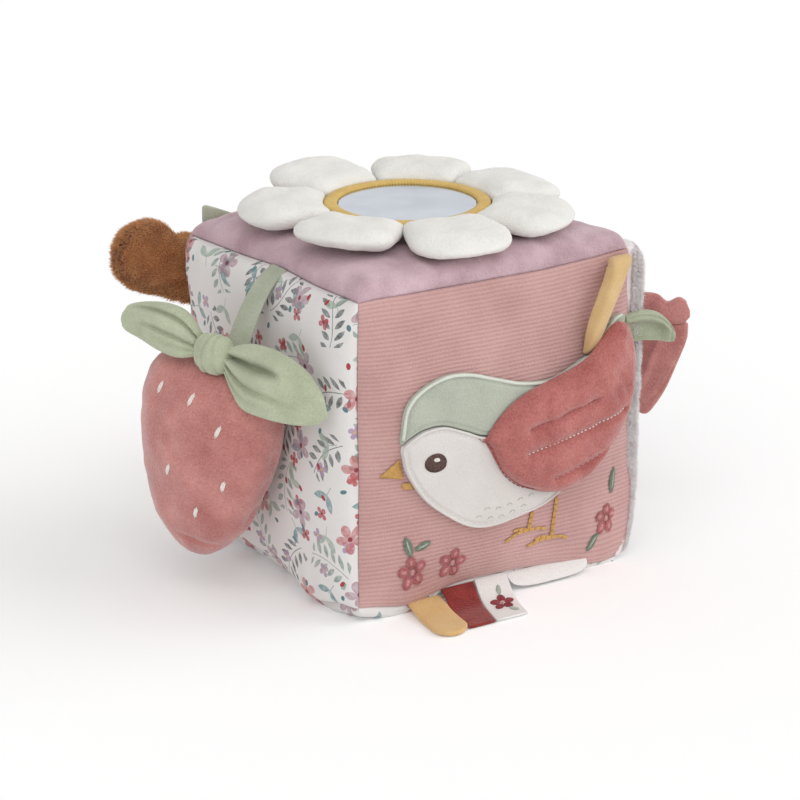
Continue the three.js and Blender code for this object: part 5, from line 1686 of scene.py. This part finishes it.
# %% The ribbon's flower
ribbon_middle = tab_route(2, ribbon_thickness)[0]
middle_row = len(ribbon_middle) * 6 // 10
ribbon_way = unit(ribbon_middle[middle_row + 1] - ribbon_middle[middle_row - 1])
ribbon_out = unit(np.cross(np.array([-1.0, 0, 0]), ribbon_way))


def sew_ribbon(tone, outline, angle, lift):
    """Stitches on the ribbon, whose own places are across it and along it from its middle."""
    far = cloth_lengths(ribbon_middle[:, None], 0)[:, 0]
    pairs = filled(outline, angle, 0.4)
    ends = []
    for k in (0, 1):
        along = far[middle_row] - pairs[:, k, 1]
        spot = np.stack([np.interp(along, far, ribbon_middle[:, n]) for n in range(3)], -1)
        ends.append(spot + pairs[:, k, :1] * np.array([1.0, 0, 0]) + ribbon_out * (0.75 + lift))
    sew(tone, "tab_flower", ends[0], ends[1], ribbon_out, 0.5)


wine_thread = thread("wine_thread", "7A2B34", "A04A4E")
for outline, way in petals_of((0.4, 0.0), 6.0, 0.2):
    sew_ribbon(wine_thread, outline, way, 0.0)
sew_ribbon(pink_thread, blob((0.4, 0.0), 1.0, 1.0), 0.3, 0.35)
for centre, slant in (((1.6, 9.0), 1.4), ((3.6, -8.0), -0.9)):
    sew_ribbon(grey_thread, blob(centre, 2.8, 1.3, slant, 1.4), slant + 0.7, 0.0)
print("tabs sewn")

# %% Tie off the thread
for (tone, body), work in sewing.items():
    points, faces, first = [], [], 0
    for bar_points, bar_faces in work:
        points.append(bar_points)
        faces.append(bar_faces + first)
        first += len(bar_points)
    piece = new_mesh(f"{tone}_on_{body}", np.concatenate(points), np.concatenate(faces))
    dress(piece, bpy.data.materials[tone], slot=thread_slots[tone], body=body)

# %% [markdown]
# ## Plush hairs
#
# Plush is told by its outline, where single hairs stand out, and by the way the pile lies in tufts. So the
# plush side and the squirrel's tail get real hairs: each is a bent three-sided spike on a random spot of the
# skin. A smooth noise turns neighbouring hairs the same way, which makes the tufts.

# %% Hairs
def hairs(name, roots, outs, lie, length, width, seed, curl=0.5, tufts=0.32):
    """A mesh of hairs. Each starts at its root, leans from its outward way towards lie, and ends in a point."""
    draw = np.random.default_rng(seed)
    count = len(roots)
    tuft = np.stack([soft_noise(roots, 7.0, seed + k) for k in range(3)], -1)
    way = unit(outs + lie + tufts * tuft + 0.22 * draw.normal(size=(count, 3)))
    bend = unit(way + curl * (lie + 0.3 * tuft) - 0.15 * outs)
    size = length * draw.uniform(0.7, 1.15, count)[:, None]
    side = unit(np.cross(way, draw.normal(size=(count, 3))))
    other = np.cross(way, side)
    middle = roots + way * size * 0.55
    tip = middle + bend * size * 0.45
    corner = even_angles(3)
    ring = side[:, None] * np.cos(corner)[:, None] + other[:, None] * np.sin(corner)[:, None]
    low = roots[:, None] - way[:, None] * 0.4 + ring * width / 2
    high = middle[:, None] + ring * width * 0.36
    points = np.concatenate([low, high, tip[:, None]], 1)
    k = np.array([0, 1, 2])
    j = (k + 1) % 3
    faces = np.concatenate([np.stack([k, j, j + 3, k + 3], -1), np.stack([k + 3, j + 3, 0 * k + 6, 0 * k + 6], -1),
                            [[0, 2, 1, 1]]])
    faces = outward(points[0], faces)
    every = (faces[None] + 7 * np.arange(count)[:, None, None]).reshape(-1, 4)
    odd = draw.uniform(0, 1, count)
    uv = np.stack([np.repeat(odd, 7), np.tile([0, 0, 0, 0.6, 0.6, 0.6, 1.0], count)], -1)
    return new_mesh(name, points.reshape(-1, 3), every, uv)


def spots_on(points, rows, columns, count, seed, weight=1.0):
    """Random spots on a grid of points, by area times weight, with the way out of the skin at each."""
    draw = np.random.default_rng(seed)
    grid = points.reshape(rows, columns, 3)
    a, b, c = grid[:-1, :-1], grid[:-1, 1:], grid[1:, :-1]
    normal = np.cross(b - a, c - a).reshape(-1, 3)
    area = np.linalg.norm(normal, axis=-1) * weight
    chosen = draw.choice(len(area), count, p=area / area.sum())
    s, t = draw.uniform(0, 1, (2, count, 1))
    flat = [x.reshape(-1, 3)[chosen] for x in (a, b, c)]
    return flat[0] + (flat[1] - flat[0]) * s + (flat[2] - flat[0]) * t, unit(normal[chosen])


def plush_side(name, nearest, count, seed, fade):
    """Hairs on the share of the plush side that is nearest its front edge. They thin out with the power fade
    of the distance from it, and the wrapped front is bare."""
    lines = crowded(120)
    u, v = np.meshgrid(-1 + (1 + lines) * nearest, lines * 0.985)
    weight = ((1 - lines[:-1]) / 2) ** fade
    u = np.clip(u, -0.9988, 0.993)
    points = on_face("right", u, v)
    roots, outs = spots_on(points, 120, 120, count, seed, np.tile(weight, 119))
    outs = outs * np.sign((outs * (roots - [0, 0, block_middle])).sum(-1))[:, None]
    wrap = half_edge + FACES["right"][2] * (5 * wrap_share) ** FACES["right"][4] * wrap_reach(
        (roots[:, 2] - block_middle) / half_edge)
    bare = (roots[:, 1] < 1.2 - half_edge) & (roots[:, 0] < wrap + 0.4)
    roots, outs = roots[~bare], outs[~bare]
    front = np.exp(-(roots[:, 1] + half_edge) / 4)
    lie = np.stack([0 * front, -0.7 * front, -0.5 + 0 * front], -1)
    room = (np.clip((roots[:, 2] - 1.0) / 4.0, 0.15, 1) * np.clip(0.5 + roots[:, 2] / 140, 0.6, 1))[:, None]
    edge = np.clip((half_edge - np.abs(roots[:, [1]])) / 6 + 0.65, 0, 1)
    top = np.clip((half_edge - (roots[:, [2]] - block_middle)) / 6 + 0.45, 0, 1)
    return hairs(name, roots, outs, lie, 3.2 * room * edge * top, 0.36, seed + 1)


def plush_tail_hairs(name, seed):
    rings = tail_skin(120, 96, inset=1.7)
    rings = np.concatenate([rings, rings[:, :1]], 1)
    roots, outs = spots_on(rings, 120, 97, 16000, seed)
    middle = rings.mean(1)
    nearest = np.abs(roots[:, None, 0] - middle[None, :, 0]).argmin(1)
    outs = outs * np.sign((outs * (roots - middle[nearest])).sum(-1))[:, None]
    way = unit(np.gradient(middle, axis=0))[nearest]
    panel_side = np.clip((roots[:, 1] - half_edge - FACES["back"][2] - 1.0) / 4, 0.25, 1)[:, None]
    return hairs(name, roots, outs, way * 1.1, 4.4 * panel_side, 0.44, seed + 1, 0.6, 0.5)


for name, nearest, count, seed, fade in (("plush_side_hairs", 1.0, 19500, 5, 0),
                                         ("plush_edge_hairs", 0.3, 14000, 15, 2)):
    dress(plush_side(name, nearest, count, seed, fade), lilac_hair, slot="lilac_plush", body="block")
for name, seed in (("plush_tail_hairs", 7), ("plush_tail_more_hairs", 27)):
    dress(plush_tail_hairs(name, seed), brown_hair, slot="brown_plush", body="squirrel_tail")

# %% [markdown]
# ## Floor, light and camera
#
# A pale floor takes the block's soft shadow. Its colour, and a white world that only the camera and clear
# reflections see, give the white background, so no lamp has to be turned up for it. Two suns with wide discs
# give a soft light from both sides, and the world fills the rest. The lens is long, as in a product photograph.

# %% Floor and light
floor_size = 6.0


def white_floor():
    mesh = bpy.data.meshes.new("floor")
    half = floor_size / 2
    mesh.from_pydata([(-half, -half, 0), (half, -half, 0), (half, half, 0), (-half, half, 0)], [], [(0, 1, 2, 3)])
    floor = bpy.data.objects.new("floor", mesh)
    bpy.context.scene.collection.objects.link(floor)
    paper = finish_of("floor_paper", Base_Color=(0.95, 0.95, 0.95, 1), Roughness=1.0, Specular_IOR_Level=0.0,
                      Emission_Color=(1, 1, 1, 1), Emission_Strength=floor_glow)[0]
    floor.data.materials.append(paper)


def sun(name, towards, strength, spread):
    """An even light from one side, as from a very large soft box; spread is its width in degrees."""
    light = bpy.data.lights.new(name, "SUN")
    light.energy = strength
    light.angle = math.radians(spread)
    holder = bpy.data.objects.new(name, light)
    holder.rotation_euler = Vector(towards).to_track_quat("Z", "Y").to_euler()
    holder.location = Vector(towards)
    bpy.context.scene.collection.objects.link(holder)


def studio_world(level):
    world = bpy.data.worlds.new("studio")
    world.use_nodes = True
    tree = world.node_tree
    tree.nodes.clear()
    path = node(tree, "LightPath")
    seen = Value(tree, path.outputs["Is Camera Ray"]).math("MAXIMUM", Value(tree, path.outputs["Is Glossy Ray"]))
    seen = seen.math("MAXIMUM", Value(tree, path.outputs["Is Transmission Ray"]))
    back = node(tree, "Background", {"Color": (1, 1, 1, 1), "Strength": seen * (1 - level) + level})
    out = node(tree, "OutputWorld")
    tree.links.new(back.outputs[0], out.inputs["Surface"])
    bpy.context.scene.world = world


floor_glow = 0.09
white_floor()
studio_world(0.57)
sun("key", (-0.62, -0.72, 1.0), 0.9, 55)
sun("side", (0.9, -0.55, 0.6), 1.2, 60)

# %% Camera
camera_turn = math.radians(-32.5)
camera_rise = math.radians(19)
camera_reach = 1.4
camera_aim = Vector((0, 0, 0.078))
data = bpy.data.cameras.new("camera")
data.lens = 137.3
data.sensor_width = 36
data.shift_x = -0.00925
data.shift_y = -0.0179
data.clip_end = 20
camera = bpy.data.objects.new("camera", data)
away = Vector((math.sin(camera_turn) * math.cos(camera_rise), -math.cos(camera_turn) * math.cos(camera_rise),
               math.sin(camera_rise)))
camera.location = camera_aim + away * camera_reach
camera.rotation_euler = (-away).to_track_quat("-Z", "Y").to_euler()
bpy.context.scene.collection.objects.link(camera)
bpy.context.scene.camera = camera
bpy.context.scene.view_settings.view_transform = "Standard"
print("camera at", tuple(round(x, 3) for x in camera.location))
